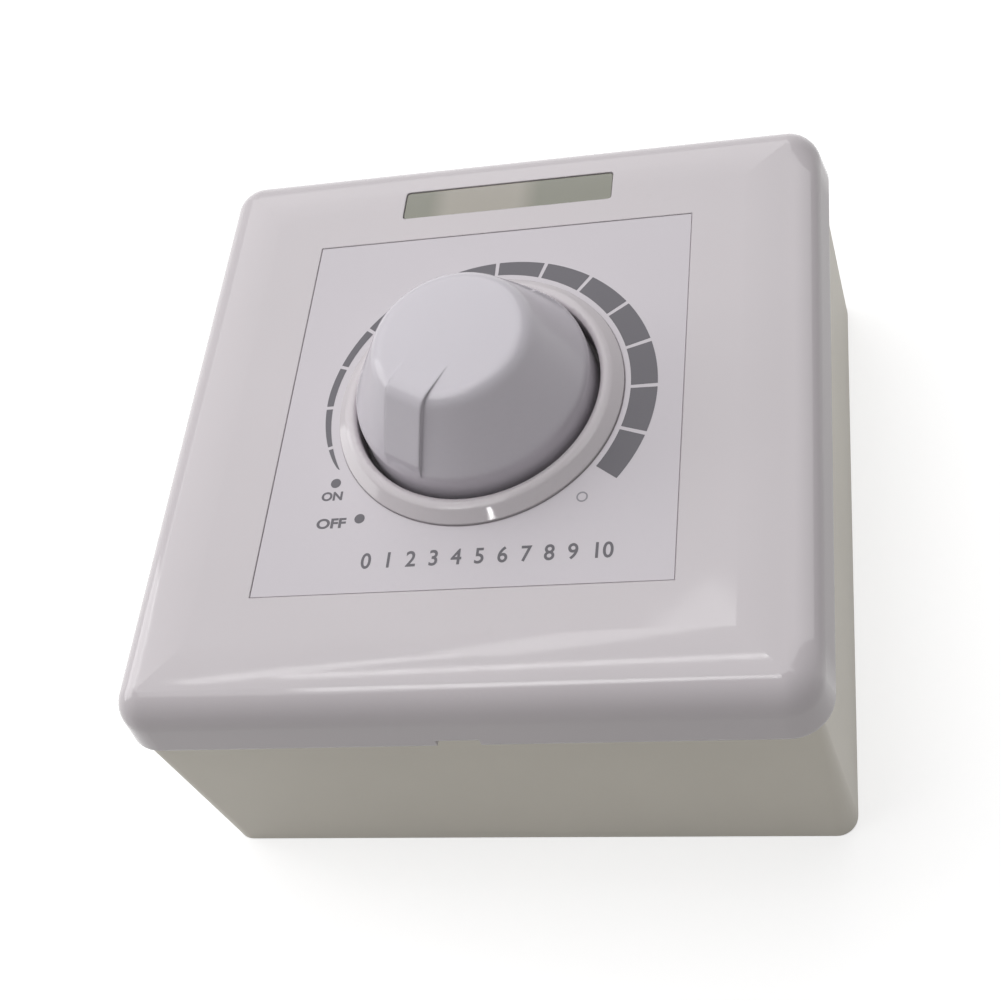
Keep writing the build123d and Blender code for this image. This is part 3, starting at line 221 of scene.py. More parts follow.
# %% [markdown]
# ## The lamps
#
# One very large soft box hangs behind the object and to its left. It lights the face evenly and leaves the
# lower right of the knob in shade, and because it fills the whole part of the room that the glossy face
# shows, the face has no edge of a reflection in it. A weaker box stands low on the left and lightens that
# side of the skirt.
#
# Four narrow strips hang over the table. The rounded lower edge of the cover shows the two straight ones as
# thin bright lines, and the two slanting ones as a line that widens into a soft sheen on the face. A small
# round lamp makes the bright point on the ring round the knob. A tube over that lamp keeps its beam on the
# ring, because the edge of the cover would show it as one more bright line. In Blender the tube is the
# lamp's spread.

# %% Hang the lamps
def hang_lamp(name, place, looks_at, width, depth, power):
    """A flat lamp that lights the object but that the camera doesn't see."""
    lamp = bpy.data.lights.new(name, "AREA")
    lamp.shape = "RECTANGLE"
    lamp.size = width
    lamp.size_y = depth
    lamp.energy = power
    holder = bpy.data.objects.new(name, lamp)
    bpy.context.scene.collection.objects.link(holder)
    holder.location = place
    holder.rotation_mode = "QUATERNION"
    holder.rotation_quaternion = (Vector(looks_at) - Vector(place)).to_track_quat("-Z", "Y")
    holder.visible_camera = False
    return holder


def hang_strip(name, start, end, width, power, height=0.95):
    """A narrow lamp that runs from one point to another over the table and shines straight down."""
    start, end = Vector((*start, height)), Vector((*end, height))
    middle = (start + end) / 2
    strip = hang_lamp(name, middle, middle - Vector((0, 0, 1)), (end - start).length, width, power)
    strip.rotation_quaternion = Quaternion((0, 0, 1), atan2(end.y - start.y, end.x - start.x))


hang_lamp("soft_box", place=(-0.60, 1.00, 1.95), looks_at=(0, 0, 0.04), width=3.0, depth=3.0, power=39)
hang_lamp("side_box", place=(-1.4, 0.25, 0.60), looks_at=(0, 0, 0.03), width=0.8, depth=0.8, power=4.6)
hang_strip("slanting_strip", start=(-0.53, 0.10), end=(-0.31, 0.225), width=0.030, power=0.08)
hang_strip("slanting_sheet", start=(-0.31, 0.225), end=(-0.10, 0.43), width=0.080, power=0.15)
hang_strip("middle_strip", start=(-0.45, 0.118), end=(-0.05, 0.155), width=0.020, power=0.12)
hang_strip("near_strip", start=(-0.43, -0.15), end=(-0.05, -0.125), width=0.090, power=0.45)
star_point = (0.0036, -0.018, 0.0429)
star_lamp = hang_lamp("star_lamp", place=(-0.092, -0.448, 0.886), looks_at=star_point, width=0.03, depth=0.03,
                      power=0.000024)
star_lamp.data.shape = "DISK"
star_lamp.data.spread = radians(2.4)

# %% [markdown]
# ## Shared effects
#
# An effect that many finishes use is built once as a node group with named sockets, and every finish gives
# it its own values. The first helper opens such a group and the second places it in a material. The third
# makes the surface relief of plastics and metals. Its bevel rounds the edges in the shading alone, which
# costs no mesh. That matters on solids whose shape must stay as it is.

# %% Open a node group
def open_group(name, takes, gives):
    """A shader node group with the named inputs (name, kind, value) and outputs (name, kind)."""
    group = bpy.data.node_groups.new(name, "ShaderNodeTree")
    for label, kind, value in takes:
        socket = group.interface.new_socket(name=label, in_out="INPUT", socket_type=kind)
        socket.default_value = value
    for label, kind in gives:
        group.interface.new_socket(name=label, in_out="OUTPUT", socket_type=kind)
    return group, group.nodes.new("NodeGroupInput").outputs, group.nodes.new("NodeGroupOutput").inputs


def place_group(tree, group, **feeds):
    """The group as a node in a material, with its inputs set; the underscores stand for blanks."""
    node = tree.nodes.new("ShaderNodeGroup")
    node.node_tree = group
    for key, value in feeds.items():
        socket = node.inputs[key.replace("_", " ")]
        if isinstance(value, bpy.types.NodeSocket):
            tree.links.new(value, socket)
        else:
            socket.default_value = value
    return node.outputs


def relief(tree, height, depth, edge_radius):
    """A normal with softened edges that carries the height as fine relief."""
    soft_edge = add_node(tree, "ShaderNodeBevel", {"Radius": edge_radius}, samples=4).outputs[0]
    feeds = {"Height": height, "Distance": depth, "Normal": soft_edge}
    return add_node(tree, "ShaderNodeBump", feeds).outputs[0]


COLOUR, NUMBER, ARROW = "NodeSocketColor", "NodeSocketFloat", "NodeSocketVector"
print("kinds of socket", COLOUR, NUMBER, ARROW)

# %% [markdown]
# Moulded plastics differ in colour and gloss but share how they are made: steel polished or sparked to a
# grain, a little flow in the melt, an edge that is never knife sharp. Wide clouds vary the tone where the
# melt flowed. Fine ones make the grain, which sets both the relief and how the gloss changes.

# %% The skin of a moulding
moulded_skin, take, give = open_group(
    "moulded_skin",
    [("Colour", COLOUR, (0.6, 0.6, 0.6, 1)), ("Tone Spread", NUMBER, 0.03), ("Grain Scale", NUMBER, 3000.0),
     ("Grain Height", NUMBER, 0.004 * mm), ("Gloss", NUMBER, 0.3), ("Gloss Spread", NUMBER, 0.05),
     ("Edge Radius", NUMBER, 0.15 * mm)],
    [("Colour", COLOUR), ("Roughness", NUMBER), ("Normal", ARROW)],
)
where = object_place(moulded_skin)
flow = noise(moulded_skin, where, scale=45.0, detail=3.0)
grain = noise(moulded_skin, where, scale=take["Grain Scale"], detail=2.0)
darker = reckon(moulded_skin, "SUBTRACT", 1.0, take["Tone Spread"])
lighter = reckon(moulded_skin, "ADD", 1.0, take["Tone Spread"])
tone = stretch_range(moulded_skin, flow, 0.3, 0.7, darker, lighter)
toned = add_node(moulded_skin, "ShaderNodeVectorMath", {0: take["Colour"], 3: tone}, operation="SCALE")
half_spread = reckon(moulded_skin, "MULTIPLY", take["Gloss Spread"], 0.5)
smoothest = reckon(moulded_skin, "SUBTRACT", take["Gloss"], half_spread)
roughest = reckon(moulded_skin, "ADD", take["Gloss"], half_spread)
gloss_map = stretch_range(moulded_skin, grain, 0.3, 0.7, smoothest, roughest)
moulded_skin.links.new(toned.outputs[0], give["Colour"])
moulded_skin.links.new(gloss_map, give["Roughness"])
grained = relief(moulded_skin, grain, take["Grain Height"], take["Edge Radius"])
moulded_skin.links.new(grained, give["Normal"])
print("group", moulded_skin.name, [s.name for s in moulded_skin.interface.items_tree])

# %% [markdown]
# Dust settles only where a surface looks up, in specks that gather in patches. Three masks say that: how
# far the surface is turned up, where a speck is and where a patch is. Their product is the dust.

# %% Dust that settles on upward faces
settled_dust, take, give = open_group(
    "settled_dust", [("Amount", NUMBER, 0.2), ("Speck Scale", NUMBER, 900.0)], [("Mask", NUMBER)]
)
where = object_place(settled_dust)
facing = add_node(settled_dust, "ShaderNodeNewGeometry").outputs["Normal"]
upward = add_node(settled_dust, "ShaderNodeSeparateXYZ", {0: facing}).outputs["Z"]
level_part = stretch_range(settled_dust, upward, 0.2, 1.0)
fine_clouds = noise(settled_dust, where, scale=take["Speck Scale"], detail=4.0)
wide_clouds = noise(settled_dust, where, scale=40.0, detail=2.0)
specks = stretch_range(settled_dust, fine_clouds, 0.55, 0.75)
patches = stretch_range(settled_dust, wide_clouds, 0.4, 0.7)
lying = reckon(settled_dust, "MULTIPLY", reckon(settled_dust, "MULTIPLY", specks, patches), level_part)
settled_dust.links.new(reckon(settled_dust, "MULTIPLY", lying, take["Amount"]), give["Mask"])
print("group", settled_dust.name)

# %% [markdown]
# Metal parts are drawn, stamped or turned, and each of these leaves fine parallel scratches. A noise pattern
# squeezed in one direction gives them, so one group serves screws, brass cages, the shaft and the can, with
# the direction as an input.

# %% Fine drawn scratches
drawn_metal, take, give = open_group(
    "drawn_metal",
    [("Colour", COLOUR, (0.6, 0.6, 0.6, 1)), ("Stretch", ARROW, (1.0, 1.0, 12.0)),
     ("Scratch Scale", NUMBER, 900.0), ("Scratch Height", NUMBER, 0.003 * mm), ("Gloss", NUMBER, 0.3),
     ("Tarnish", NUMBER, 0.15), ("Edge Radius", NUMBER, 0.1 * mm)],
    [("Colour", COLOUR), ("Roughness", NUMBER), ("Normal", ARROW)],
)
tarnish_brown = (0.12, 0.11, 0.10, 1)
scratch_roughness = 0.12
where = object_place(drawn_metal)
squeezed = add_node(drawn_metal, "ShaderNodeVectorMath", {0: where, 1: take["Stretch"]}, operation="MULTIPLY")
scratch = noise(drawn_metal, squeezed.outputs[0], scale=take["Scratch Scale"], detail=4.0)
stain_clouds = noise(drawn_metal, where, scale=180.0, detail=4.0)
stain = stretch_range(drawn_metal, stain_clouds, 0.45, 0.75, 0.0, take["Tarnish"])
rougher = reckon(drawn_metal, "ADD", take["Gloss"], stain)
drawn_metal.links.new(blend_colours(drawn_metal, stain, take["Colour"], tarnish_brown), give["Colour"])
dulled = reckon(drawn_metal, "MULTIPLY_ADD", scratch, scratch_roughness, rougher)
drawn_metal.links.new(dulled, give["Roughness"])
scratched = relief(drawn_metal, scratch, take["Scratch Height"], take["Edge Radius"])
drawn_metal.links.new(scratched, give["Normal"])
print("group", drawn_metal.name)

# %% [markdown]
# ## The cover, the knob and the box
#
# The cover and the knob come from polished steel, so their gloss is high and only a faint waviness shows
# where the melt flowed. The back box is the same family of plastic in an ivory tone, moulded in sparked
# steel: it is half matt with a fine grain. A clear coat would look like lacquer here, so the gloss stays in
# the one shader.

# %% Finish a moulding and dress a solid
dust_colour, dust_dullness = (0.55, 0.54, 0.52, 1), 0.4


def moulded_finish(name, colour, tone, grain_scale, grain_height, gloss, gloss_spread, edge, dust=0.15,
                   **plain):
    """A plastic moulding: its skin, and a little dust that lightens and dulls the upward faces."""
    finish, tree, shader = open_finish(name, **plain)
    skin = place_group(tree, moulded_skin, Colour=colour, Tone_Spread=tone, Grain_Scale=grain_scale,
                       Grain_Height=grain_height, Gloss=gloss, Gloss_Spread=gloss_spread, Edge_Radius=edge)
    dust_here = place_group(tree, settled_dust, Amount=dust)["Mask"]
    dusty = blend_colours(tree, dust_here, skin["Colour"], dust_colour)
    dull = reckon(tree, "MULTIPLY_ADD", dust_here, dust_dullness, skin["Roughness"])
    wire_look(tree, shader, dusty, dull, skin["Normal"])
    return finish


def dress(finish, *names):
    """The named solids take this finish on every face."""
    for name in names:
        slots = solids[name].data.materials
        slots.clear()
        slots.append(finish)
    print("finish", finish.name, "on", ", ".join(names))


cover_gloss = moulded_finish(
    "cover_gloss", from_screen(211, 204, 208), tone=0.012, grain_scale=260.0, grain_height=0.005 * mm,
    gloss=0.07, gloss_spread=0.03, edge=0.3 * mm, dust=0.08, IOR=1.52,
)
knob_gloss = moulded_finish(
    "knob_gloss", from_screen(215, 210, 218), tone=0.015, grain_scale=220.0, grain_height=0.006 * mm,
    gloss=0.12, gloss_spread=0.04, edge=0.6 * mm, dust=0.06, IOR=1.50,
)
ivory_box = moulded_finish(
    "ivory_box", from_screen(226, 220, 207), tone=0.02, grain_scale=5200.0, grain_height=0.010 * mm,
    gloss=0.42, gloss_spread=0.10, edge=0.3 * mm, dust=0.20, IOR=1.48,
)
dress(cover_gloss, "front_cover")
dress(knob_gloss, "knob")
dress(ivory_box, "back_box")

# %% [markdown]
# The well that the knob turns in is the one part of the cover that is left unpolished, so it stays matt.
# Its colour is also turned to a darker grey, a painted shade for the deep gap, so its wall makes a dark line
# round the knob. It could be a second material on those faces, but the mesh of a solid isn't touched, so its
# place is found from the distance to the axis and the height.

# %% The well round the knob
well_wall = (16.08 * mm, 16.14 * mm)
well_crest = (42.8 * mm, 43.6 * mm)
# The grey below is painted shade for the gap round the knob, not dirt.
well_painted_shade = from_screen(120, 116, 118)
well_roughness = 0.6

tree = cover_gloss.node_tree
shader = tree.nodes["Principled BSDF"]
clean, polished, rounded = (
    shader.inputs[name].links[0].from_socket for name in ("Base Color", "Roughness", "Normal")
)
where = object_place(tree)
across = add_node(tree, "ShaderNodeSeparateXYZ", {0: where}).outputs
level_place = add_node(tree, "ShaderNodeVectorMath", {0: where, 1: (1, 1, 0)}, operation="MULTIPLY")
distance = add_node(tree, "ShaderNodeVectorMath", {0: level_place.outputs[0]}, operation="LENGTH")
from_axis = distance.outputs["Value"]
inside_ring = stretch_range(tree, from_axis, *well_wall, 1.0, 0.0)
below_crest = stretch_range(tree, across["Z"], *well_crest, 1.0, 0.0)
in_well = reckon(tree, "MULTIPLY", inside_ring, below_crest)
matt_well = reckon(tree, "MULTIPLY_ADD", in_well, well_roughness, polished)
# Inside the well the colour turns to that painted shade.
colour_with_painted_well_shade = blend_colours(tree, in_well, clean, well_painted_shade)
print("well wall at", [round(v / mm, 2) for v in well_wall], "mm from the axis")

# %% [markdown]
# Two places of the cover take more of the light from above than their solids would: the flank of the ring
# round the well, and the right edge along its straight part. Polishing rounds a moulding a little
# differently from its drawing. A normal that leans towards the top shows that without touching the mesh.
# The share of the lean is 0 everywhere else, and it fades out before the corners.

# %% The ring and the right edge
ring_flank, ring_lean = (17.1 * mm, 17.5 * mm), 0.4
above_face = (42.01 * mm, 42.03 * mm)
edge_shoulder, edge_lean = (38.5 * mm, 40.0 * mm), 0.74
edge_skirt, skirt_less = (42.1 * mm, 43.0 * mm), 0.6
edge_corner = (34.5 * mm, 38.5 * mm)

in_ring = stretch_range(tree, from_axis, *ring_flank, 0.0, ring_lean)
on_ring = reckon(tree, "MULTIPLY", in_ring, stretch_range(tree, across["Z"], *above_face))
on_shoulder = stretch_range(tree, across["X"], *edge_shoulder, 0.0, edge_lean)
on_skirt = stretch_range(tree, across["X"], *edge_skirt, 0.0, skirt_less)
from_middle = reckon(tree, "ABSOLUTE", across["Y"])
off_corner = stretch_range(tree, from_middle, *edge_corner, 1.0, 0.0)
on_edge = reckon(tree, "MULTIPLY", reckon(tree, "SUBTRACT", on_shoulder, on_skirt), off_corner)
lean = reckon(tree, "MAXIMUM", on_ring, on_edge)
leaning = add_node(tree, "ShaderNodeMix", {0: lean, 4: rounded, 5: (0, 0, 1)}, data_type="VECTOR").outputs[1]
leaned = add_node(tree, "ShaderNodeVectorMath", {0: leaning}, operation="NORMALIZE").outputs[0]
wire_look(tree, shader, colour_with_painted_well_shade, matt_well, leaned)
print("lean", ring_lean, "on the ring,", edge_lean, "on the right shoulder")

# %% [markdown]
# ## The label and the window
#
# The label is a thin film with a satin face, stuck in its recess. Under the thumb it has a very fine grain
# that breaks up reflections. Roughness alone would blur them too, but a face without any grain looks like
# paint.

# %% Satin film
satin_film = moulded_finish(
    "satin_film", from_screen(212, 206, 212), tone=0.010, grain_scale=7000.0, grain_height=0.004 * mm,
    gloss=0.36, gloss_spread=0.06, edge=0.05 * mm, dust=0.05, IOR=1.5,
)
dress(satin_film, "scale_label")

# %% [markdown]
# The window above the label is one clear moulding over a pale light box: it looks light in the middle, where
# the box is, and smoky olive towards both ends. Clear plastic over a modelled box would need many bounces
# of light to look right, so a gradient along the piece stands for that depth.

# %% Smoky window
window_low, window_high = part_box("indicator_window")
lamp_middle = -3.5 * mm
light_half, smoke_half = 4.5 * mm, 8.5 * mm

smoky_window, tree, shader = open_finish("smoky_window", IOR=1.49, Transmission_Weight=0.15)
along = add_node(tree, "ShaderNodeSeparateXYZ", {0: object_place(tree)}).outputs["X"]
away = reckon(tree, "ABSOLUTE", reckon(tree, "SUBTRACT", along, lamp_middle))
smoke = stretch_range(tree, away, light_half, smoke_half, interpolation_type="SMOOTHSTEP")
window_tone = blend_colours(tree, smoke, from_screen(180, 174, 163), from_screen(146, 146, 132))
window_skin = place_group(tree, moulded_skin, Colour=window_tone, Tone_Spread=0.03, Grain_Scale=900.0,
                          Grain_Height=0.002 * mm, Gloss=0.14, Gloss_Spread=0.04, Edge_Radius=0.1 * mm)
wire_look(tree, shader, *window_skin)
dress(smoky_window, "indicator_window")
print("window from", round(window_low.x / mm, 2), "to", round(window_high.x / mm, 2), "mm")

# %% [markdown]
# ## Printing the label
#
# Nearly all print on the label is one dark ink. It is given a real thickness of two hundredths of a
# millimetre, so that it never flickers against the film. A picture of the print laid over the label could do
# the same, but letters made as shapes stay sharp however close the camera comes. Each print is drawn flat
# with bmesh at the height of the film, then raised, and then kept as an object that rides on the module.

# %% Ink and where it lies
ink_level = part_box("scale_label")[1].z
ink_thickness = 0.02 * mm
ink_finish = moulded_finish(
    "scale_ink", from_screen(92, 89, 96), tone=0.03, grain_scale=5000.0, grain_height=0.003 * mm,
    gloss=0.45, gloss_spread=0.08, edge=0.02 * mm, dust=0.0,
)


def raise_ink(bm):
    """A flat print at the label's level gets the ink's thickness."""
    flat = bm.faces[:]
    bmesh.ops.recalc_face_normals(bm, faces=flat)
    raised = bmesh.ops.extrude_face_region(bm, geom=flat)
    top = [part for part in raised["geom"] if isinstance(part, bmesh.types.BMVert)]
    bmesh.ops.translate(bm, verts=top, vec=(0, 0, ink_thickness))


def keep_print(bm, name, finish):
    """A raised print becomes an object at the origin with its outside turned out."""
    bmesh.ops.remove_doubles(bm, verts=bm.verts[:], dist=1e-7)
    bmesh.ops.recalc_face_normals(bm, faces=bm.faces[:])
    mesh = bpy.data.meshes.new(name)
    bm.to_mesh(mesh)
    bm.free()
    mesh.materials.append(finish)
    piece = bpy.data.objects.new(name, mesh)
    bpy.context.scene.collection.objects.link(piece)
    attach(piece, "module")
    print(name, len(mesh.polygons), "faces", [round(v / mm, 2) for v in piece.dimensions], "mm")


print("ink level", round(ink_level / mm, 2), "mm")

# %% [markdown]
# The scale is a band that grows wider from OFF towards full, cut in steps of 18 degrees. It could be drawn
# as one outline, but the steps are easier to get even one at a time: a radial line is swept round the
# knob's axis, and then its two ends are moved to the two circles that bound the band. The circles have
# different centres, which makes the band a crescent. The line starts one metre long, only so that its near
# and far ends can be told apart afterwards.

# %% The crescent scale
outer_centre, outer_radius = Vector((1.0, -0.12)) * mm, 22.14 * mm
inner_centre, inner_radius = Vector((-0.23, 0.0)) * mm, 19.93 * mm
step_angle, first_step, whole_steps = radians(18), radians(252), 13
scale_start, tail_end, scale_end = radians(241), radians(276), radians(360 + 125.6)
gap_between, middle_radius = 0.5 * mm, 21 * mm
near_mark, far_mark = 1.0, 2.0
angle_slack = 0.01


def to_circle(angle, centre, radius):
    """How far from the knob's axis a circle lies, clockwise from the top of the label."""
    along = Vector((sin(angle), cos(angle))).dot(centre)
    return along + sqrt(radius ** 2 - centre.length_squared + along ** 2)


def band_edges(angle):
    """The inner and outer reach of the band. Its tail thins to a point over the first 35 degrees."""
    near = to_circle(angle, inner_centre, inner_radius)
    far = to_circle(angle, outer_centre, outer_radius)
    if angle < tail_end:
        far = near + (far - near) * sqrt(max(angle - scale_start, 0) / (tail_end - scale_start))
    return near, far


def print_step(bm, start, end):
    """One step of the scale between two angles, clockwise from the top."""
    printed = set(bm.verts)
    near = bm.verts.new((sin(start) * near_mark, cos(start) * near_mark, ink_level))
    far = bm.verts.new((sin(start) * far_mark, cos(start) * far_mark, ink_level))
    line = bm.edges.new((near, far))
    bmesh.ops.spin(bm, geom=[near, far, line], cent=(0, 0, ink_level), axis=(0, 0, -1), angle=end - start,
                   steps=18)
    for vert in set(bm.verts) - printed:
        angle = atan2(vert.co.x, vert.co.y) % (2 * pi)
        if angle < start - angle_slack:
            angle += 2 * pi
        near_reach, far_reach = band_edges(angle)
        reach = near_reach if vert.co.xy.length < (near_mark + far_mark) / 2 else far_reach
        vert.co.x, vert.co.y = sin(angle) * reach, cos(angle) * reach


scale_bm = bmesh.new()
half_gap = gap_between / 2 / middle_radius
cuts = [scale_start] + [first_step + step * step_angle for step in range(whole_steps)] + [scale_end]
for start, end in zip(cuts, cuts[1:]):
    print_step(scale_bm, start + half_gap * (start > scale_start), end - half_gap * (end < scale_end))
raise_ink(scale_bm)
keep_print(scale_bm, "printed_scale", ink_finish)

# %% [markdown]
# The two switch marks are round dots and the end of the travel is a small open ring. A disc is a
# create_circle with its cap filled. The ring is a short line spun right round, which keeps its width the
# same all the way. Its line is so fine that the print comes out paler there, so it has an ink of its own.

# %% Dots and the end ring
def print_dot(bm, x, y, diameter=1.35 * mm):
    """A filled disc with its centre at x, y."""
    made = bmesh.ops.create_circle(bm, cap_ends=True, segments=32, radius=diameter / 2)
    bmesh.ops.translate(bm, verts=made["verts"], vec=(x, y, ink_level))


off_dot = (-13.75 * mm, -17.15 * mm)
on_dot = (-17.80 * mm, -11.75 * mm)
dots_bm = bmesh.new()
print_dot(dots_bm, *off_dot)
print_dot(dots_bm, *on_dot)
raise_ink(dots_bm)
keep_print(dots_bm, "switch_dots", ink_finish)

fine_ink = moulded_finish(
    "fine_ink", from_screen(150, 147, 154), tone=0.03, grain_scale=5000.0, grain_height=0.003 * mm,
    gloss=0.45, gloss_spread=0.08, edge=0.02 * mm, dust=0.0,
)
end_mark, ring_inner, ring_outer = Vector((14.62, -15.75, 0)) * mm, 0.52 * mm, 0.72 * mm
ring_bm = bmesh.new()
inner_point = ring_bm.verts.new(end_mark + Vector((ring_inner, 0, ink_level)))
outer_point = ring_bm.verts.new(end_mark + Vector((ring_outer, 0, ink_level)))
ring_line = ring_bm.edges.new((inner_point, outer_point))
bmesh.ops.spin(ring_bm, geom=[inner_point, outer_point, ring_line], cent=end_mark, axis=(0, 0, 1),
               angle=2 * pi, steps=32, use_merge=True)
raise_ink(ring_bm)
keep_print(ring_bm, "end_ring", fine_ink)

# %% [markdown]
# ## Letters on the label
#
# ON and OFF stand beside the two dots, and a row of plain numbers runs along the foot of the label.
# Blender's text objects know the letter shapes, so each word starts as one and is turned into a mesh. Print
# this small is always set bold, and ink spreads a little as well. The font has only one weight, so the
# outlines are pushed out by a share of the letter height. A sharp outer corner would run out into a spike,
# so it is held back. The point of a notch, as in the 6, may move further, or its two sides would cross.
# Then the word is scaled to the measured height and moved to its place.

# %% Set a line of type
corner_limit, notch_limit = 0.6, 0.25


def embolden(bm, growth):
    """Every outline moves out by growth. Walking round a face that looks up, out is to the right."""
    push, arriving, leaving = {}, {}, {}
    for edge in [edge for edge in bm.edges if edge.is_boundary]:
        loop = edge.link_loops[0]
        start, end = loop.vert, loop.link_loop_next.vert
        along = (end.co - start.co).normalized()
        leaving[start] = arriving[end] = along
        for vert in (start, end):
            push[vert] = push.get(vert, Vector()) + Vector((along.y, -along.x, 0))
    for vert, way in push.items():
        in_notch = arriving[vert].cross(leaving[vert]).z < 0
        vert.co += way.normalized() * growth / max(way.length / 2, notch_limit if in_notch else corner_limit)


def set_type(name, words, height, width, left, baseline, weight):
    """Words as a flat print, with the height of the capitals, the width, and where they start."""
    line = bpy.data.curves.new(name, "FONT")
    line.body = words
    line.resolution_u = 6
    writer = bpy.data.objects.new(name + "_type", line)
    bpy.context.scene.collection.objects.link(writer)
    shape = bpy.data.meshes.new_from_object(writer.evaluated_get(bpy.context.evaluated_depsgraph_get()))
    bpy.data.objects.remove(writer)
    bm = bmesh.new()
    bm.from_mesh(shape)
    bpy.data.meshes.remove(shape)
    bmesh.ops.remove_doubles(bm, verts=bm.verts[:], dist=1e-4)
    bmesh.ops.dissolve_limit(bm, angle_limit=0.01, verts=bm.verts[:], edges=bm.edges[:])
    embolden(bm, weight)
    xs, ys = [vert.co.x for vert in bm.verts], [vert.co.y for vert in bm.verts]
    wide, tall = width / (max(xs) - min(xs)), height / (max(ys) - min(ys))
    for vert in bm.verts:
        x, y = left + (vert.co.x - min(xs)) * wide, baseline + (vert.co.y - min(ys)) * tall
        vert.co = Vector((x, y, ink_level))
    raise_ink(bm)
    keep_print(bm, name, ink_finish)


set_type("on_mark", "ON", height=1.3 * mm, width=2.8 * mm, left=-19.4 * mm, baseline=-14.3 * mm, weight=0.034)
set_type("off_mark", "OFF", height=1.45 * mm, width=3.9 * mm, left=-19.4 * mm, baseline=-18.35 * mm,
         weight=0.034)
set_type("scale_numbers", "0  1  2  3  4  5  6  7  8  9  10", height=2.2 * mm, width=31.6 * mm,
         left=-12.6 * mm, baseline=-24.3 * mm, weight=0.015)

# %% [markdown]
# ## Inside: frame, case and board
#
# None of this shows from the front, but the parts are taken out and looked at one by one, so each gets the
# finish of its real material. The support frame is grey nylon, the case black, the terminal block green,
# and the little switch rocker a pale nylon. A black epoxy serves the transistor, the switch case, the rotor
# and later the diodes.

# %% Inner mouldings
grey_nylon = moulded_finish(
    "grey_nylon", from_screen(192, 193, 191), tone=0.03, grain_scale=3600.0, grain_height=0.012 * mm,
    gloss=0.48, gloss_spread=0.12, edge=0.2 * mm,
)
black_case = moulded_finish(
    "black_case", from_screen(38, 38, 40), tone=0.06, grain_scale=4200.0, grain_height=0.014 * mm,
    gloss=0.50, gloss_spread=0.14, edge=0.2 * mm, dust=0.3,
)
green_terminal = moulded_finish(
    "green_terminal", from_screen(62, 120, 70), tone=0.04, grain_scale=3000.0, grain_height=0.006 * mm,
    gloss=0.36, gloss_spread=0.10, edge=0.2 * mm,
)
pale_nylon = moulded_finish(
    "rocker_nylon", from_screen(205, 200, 186), tone=0.03, grain_scale=3000.0, grain_height=0.005 * mm,
    gloss=0.38, gloss_spread=0.10, edge=0.1 * mm,
)
black_epoxy = moulded_finish(
    "black_epoxy", from_screen(34, 34, 36), tone=0.08, grain_scale=6000.0, grain_height=0.010 * mm,
    gloss=0.46, gloss_spread=0.15, edge=0.1 * mm,
)
dress(grey_nylon, "mounting_frame")
dress(black_case, "module_case")
dress(green_terminal, "terminal_block")
dress(pale_nylon, "switch_rocker")
dress(black_epoxy, "transistor", "switch_case", "pot_rotor")

# %% [markdown]
# The screws, the nut and the washer are zinc plated, the can, the bushing and the fuse clips tinned. The
# shaft is turned aluminium, and the sleeves in the box, the terminal cages and the contacts are brass. They
# share the group of drawn metal. The stretch squeezes its pattern along one axis, so the scratches run
# across that axis.

# %% Metals
def metal_finish(name, colour, gloss, stretch, tarnish=0.12):
    """A metal with the fine scratches that drawing or turning has left."""
    finish, tree, shader = open_finish(name, Metallic=1.0)
    look = place_group(tree, drawn_metal, Colour=colour, Stretch=stretch, Scratch_Scale=900.0,
                       Scratch_Height=0.003 * mm, Gloss=gloss, Tarnish=tarnish, Edge_Radius=0.1 * mm)
    wire_look(tree, shader, *look)
    return finish


zinc_plate = metal_finish("zinc_plate", (0.66, 0.67, 0.68, 1), gloss=0.26, stretch=(1.0, 1.0, 8.0))
tin_plate = metal_finish("tin_plate", (0.70, 0.70, 0.68, 1), gloss=0.30, stretch=(1.0, 10.0, 1.0))
turned_aluminium = metal_finish("turned_aluminium", (0.74, 0.74, 0.75, 1), gloss=0.28,
                                stretch=(1.0, 1.0, 14.0))
bright_brass = metal_finish("bright_brass", (0.78, 0.58, 0.28, 1), gloss=0.24, stretch=(8.0, 1.0, 1.0),
                            tarnish=0.22)
dress(zinc_plate, "fixing_screws", "case_screws", "board_screws", "terminal_screws", "pot_washer", "pot_nut",
      "rocker_pin", "knob_spring_clip")
dress(tin_plate, "fuse_clips", "led_leads", "pot_bushing", "pot_can", "pot_terminals")
dress(turned_aluminium, "pot_shaft")
dress(bright_brass, "box_inserts", "terminal_cages", "switch_terminals", "switch_bridge", "wiper_contact")

# %% [markdown]
# The board is pressed paper and glass cloth in resin. Two crossed wave textures make the cloth, and the
# tone clouds of the moulded skin stand for the resin. The brown wafer of the control is the same kind of
# laminate without the cloth.

# %% Laminates
tan_board, tree, shader = open_finish("tan_board", IOR=1.5)
threads = {"Vector": object_place(tree), "Scale": 420.0, "Distortion": 0.6, "Detail": 1.0}
warp, weft = (add_node(tree, "ShaderNodeTexWave", threads, bands_direction=way).outputs[1] for way in "XY")
cloth = reckon(tree, "MULTIPLY", warp, weft)
board_tone = blend_colours(tree, cloth, from_screen(166, 134, 78), from_screen(186, 155, 98))
board_skin = place_group(tree, moulded_skin, Colour=board_tone, Tone_Spread=0.05, Grain_Scale=1500.0,
                         Grain_Height=0.002 * mm, Gloss=0.34, Gloss_Spread=0.1, Edge_Radius=0.1 * mm)
wire_look(tree, shader, *board_skin)
dress(tan_board, "circuit_board")

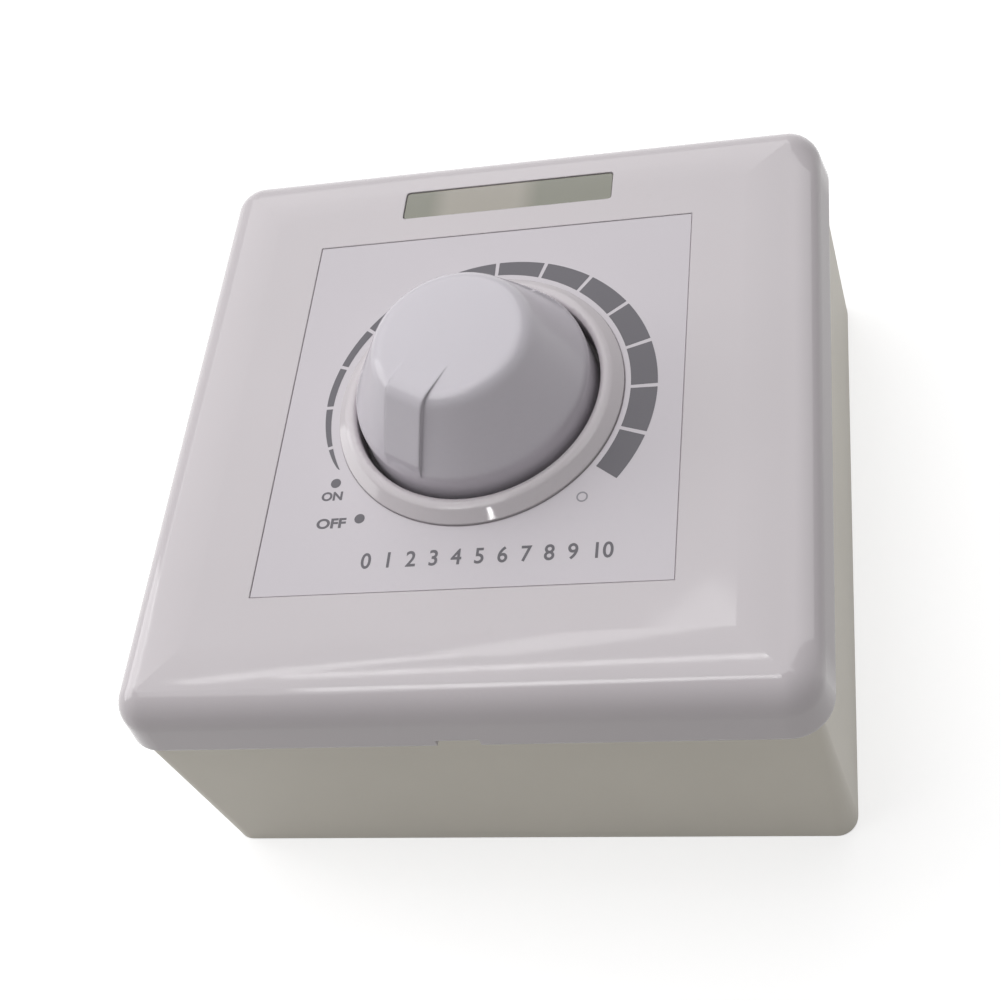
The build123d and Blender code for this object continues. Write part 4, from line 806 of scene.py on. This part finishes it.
brown_wafer = moulded_finish(
    "brown_wafer", from_screen(120, 78, 44), tone=0.10, grain_scale=800.0, grain_height=0.004 * mm,
    gloss=0.4, gloss_spread=0.12, edge=0.1 * mm,
)
dress(brown_wafer, "resistive_wafer")

# %% [markdown]
# The components have their usual colours: a yellow film capacitor, a dark sleeve on the electrolytic one, a
# blue dipped varistor, tan resistors. Dipped lacquer is wavier than a moulding, so the varistor has the
# deepest relief. The lamp and the fuse are clear, and let most of the light through.

# %% Component bodies
yellow_case = moulded_finish(
    "yellow_case", from_screen(214, 176, 62), tone=0.03, grain_scale=2500.0, grain_height=0.004 * mm,
    gloss=0.26, gloss_spread=0.08, edge=0.2 * mm,
)
dark_sleeve = moulded_finish(
    "dark_sleeve", from_screen(30, 36, 66), tone=0.05, grain_scale=700.0, grain_height=0.006 * mm,
    gloss=0.22, gloss_spread=0.08, edge=0.1 * mm,
)
blue_dip = moulded_finish(
    "blue_dip", from_screen(52, 100, 168), tone=0.06, grain_scale=500.0, grain_height=0.030 * mm,
    gloss=0.22, gloss_spread=0.08, edge=0.2 * mm,
)
tan_lacquer = moulded_finish(
    "tan_lacquer", from_screen(198, 168, 122), tone=0.06, grain_scale=900.0, grain_height=0.010 * mm,
    gloss=0.30, gloss_spread=0.10, edge=0.1 * mm,
)
tinted_lamp = moulded_finish(
    "tinted_lamp", from_screen(196, 82, 70), tone=0.03, grain_scale=900.0, grain_height=0.001 * mm,
    gloss=0.08, gloss_spread=0.02, edge=0.1 * mm, Transmission_Weight=0.6, IOR=1.5,
)
clear_glass = moulded_finish(
    "fuse_glass", (0.85, 0.87, 0.87, 1), tone=0.01, grain_scale=900.0, grain_height=0.001 * mm,
    gloss=0.04, gloss_spread=0.02, edge=0.1 * mm, dust=0.3, Transmission_Weight=0.9, IOR=1.5,
)
dress(yellow_case, "film_capacitor")
dress(dark_sleeve, "electrolytic_capacitor")
dress(blue_dip, "varistor")
dress(tan_lacquer, "resistors")
dress(black_epoxy, "diodes")
dress(tinted_lamp, "indicator_led")
dress(clear_glass, "fuse")
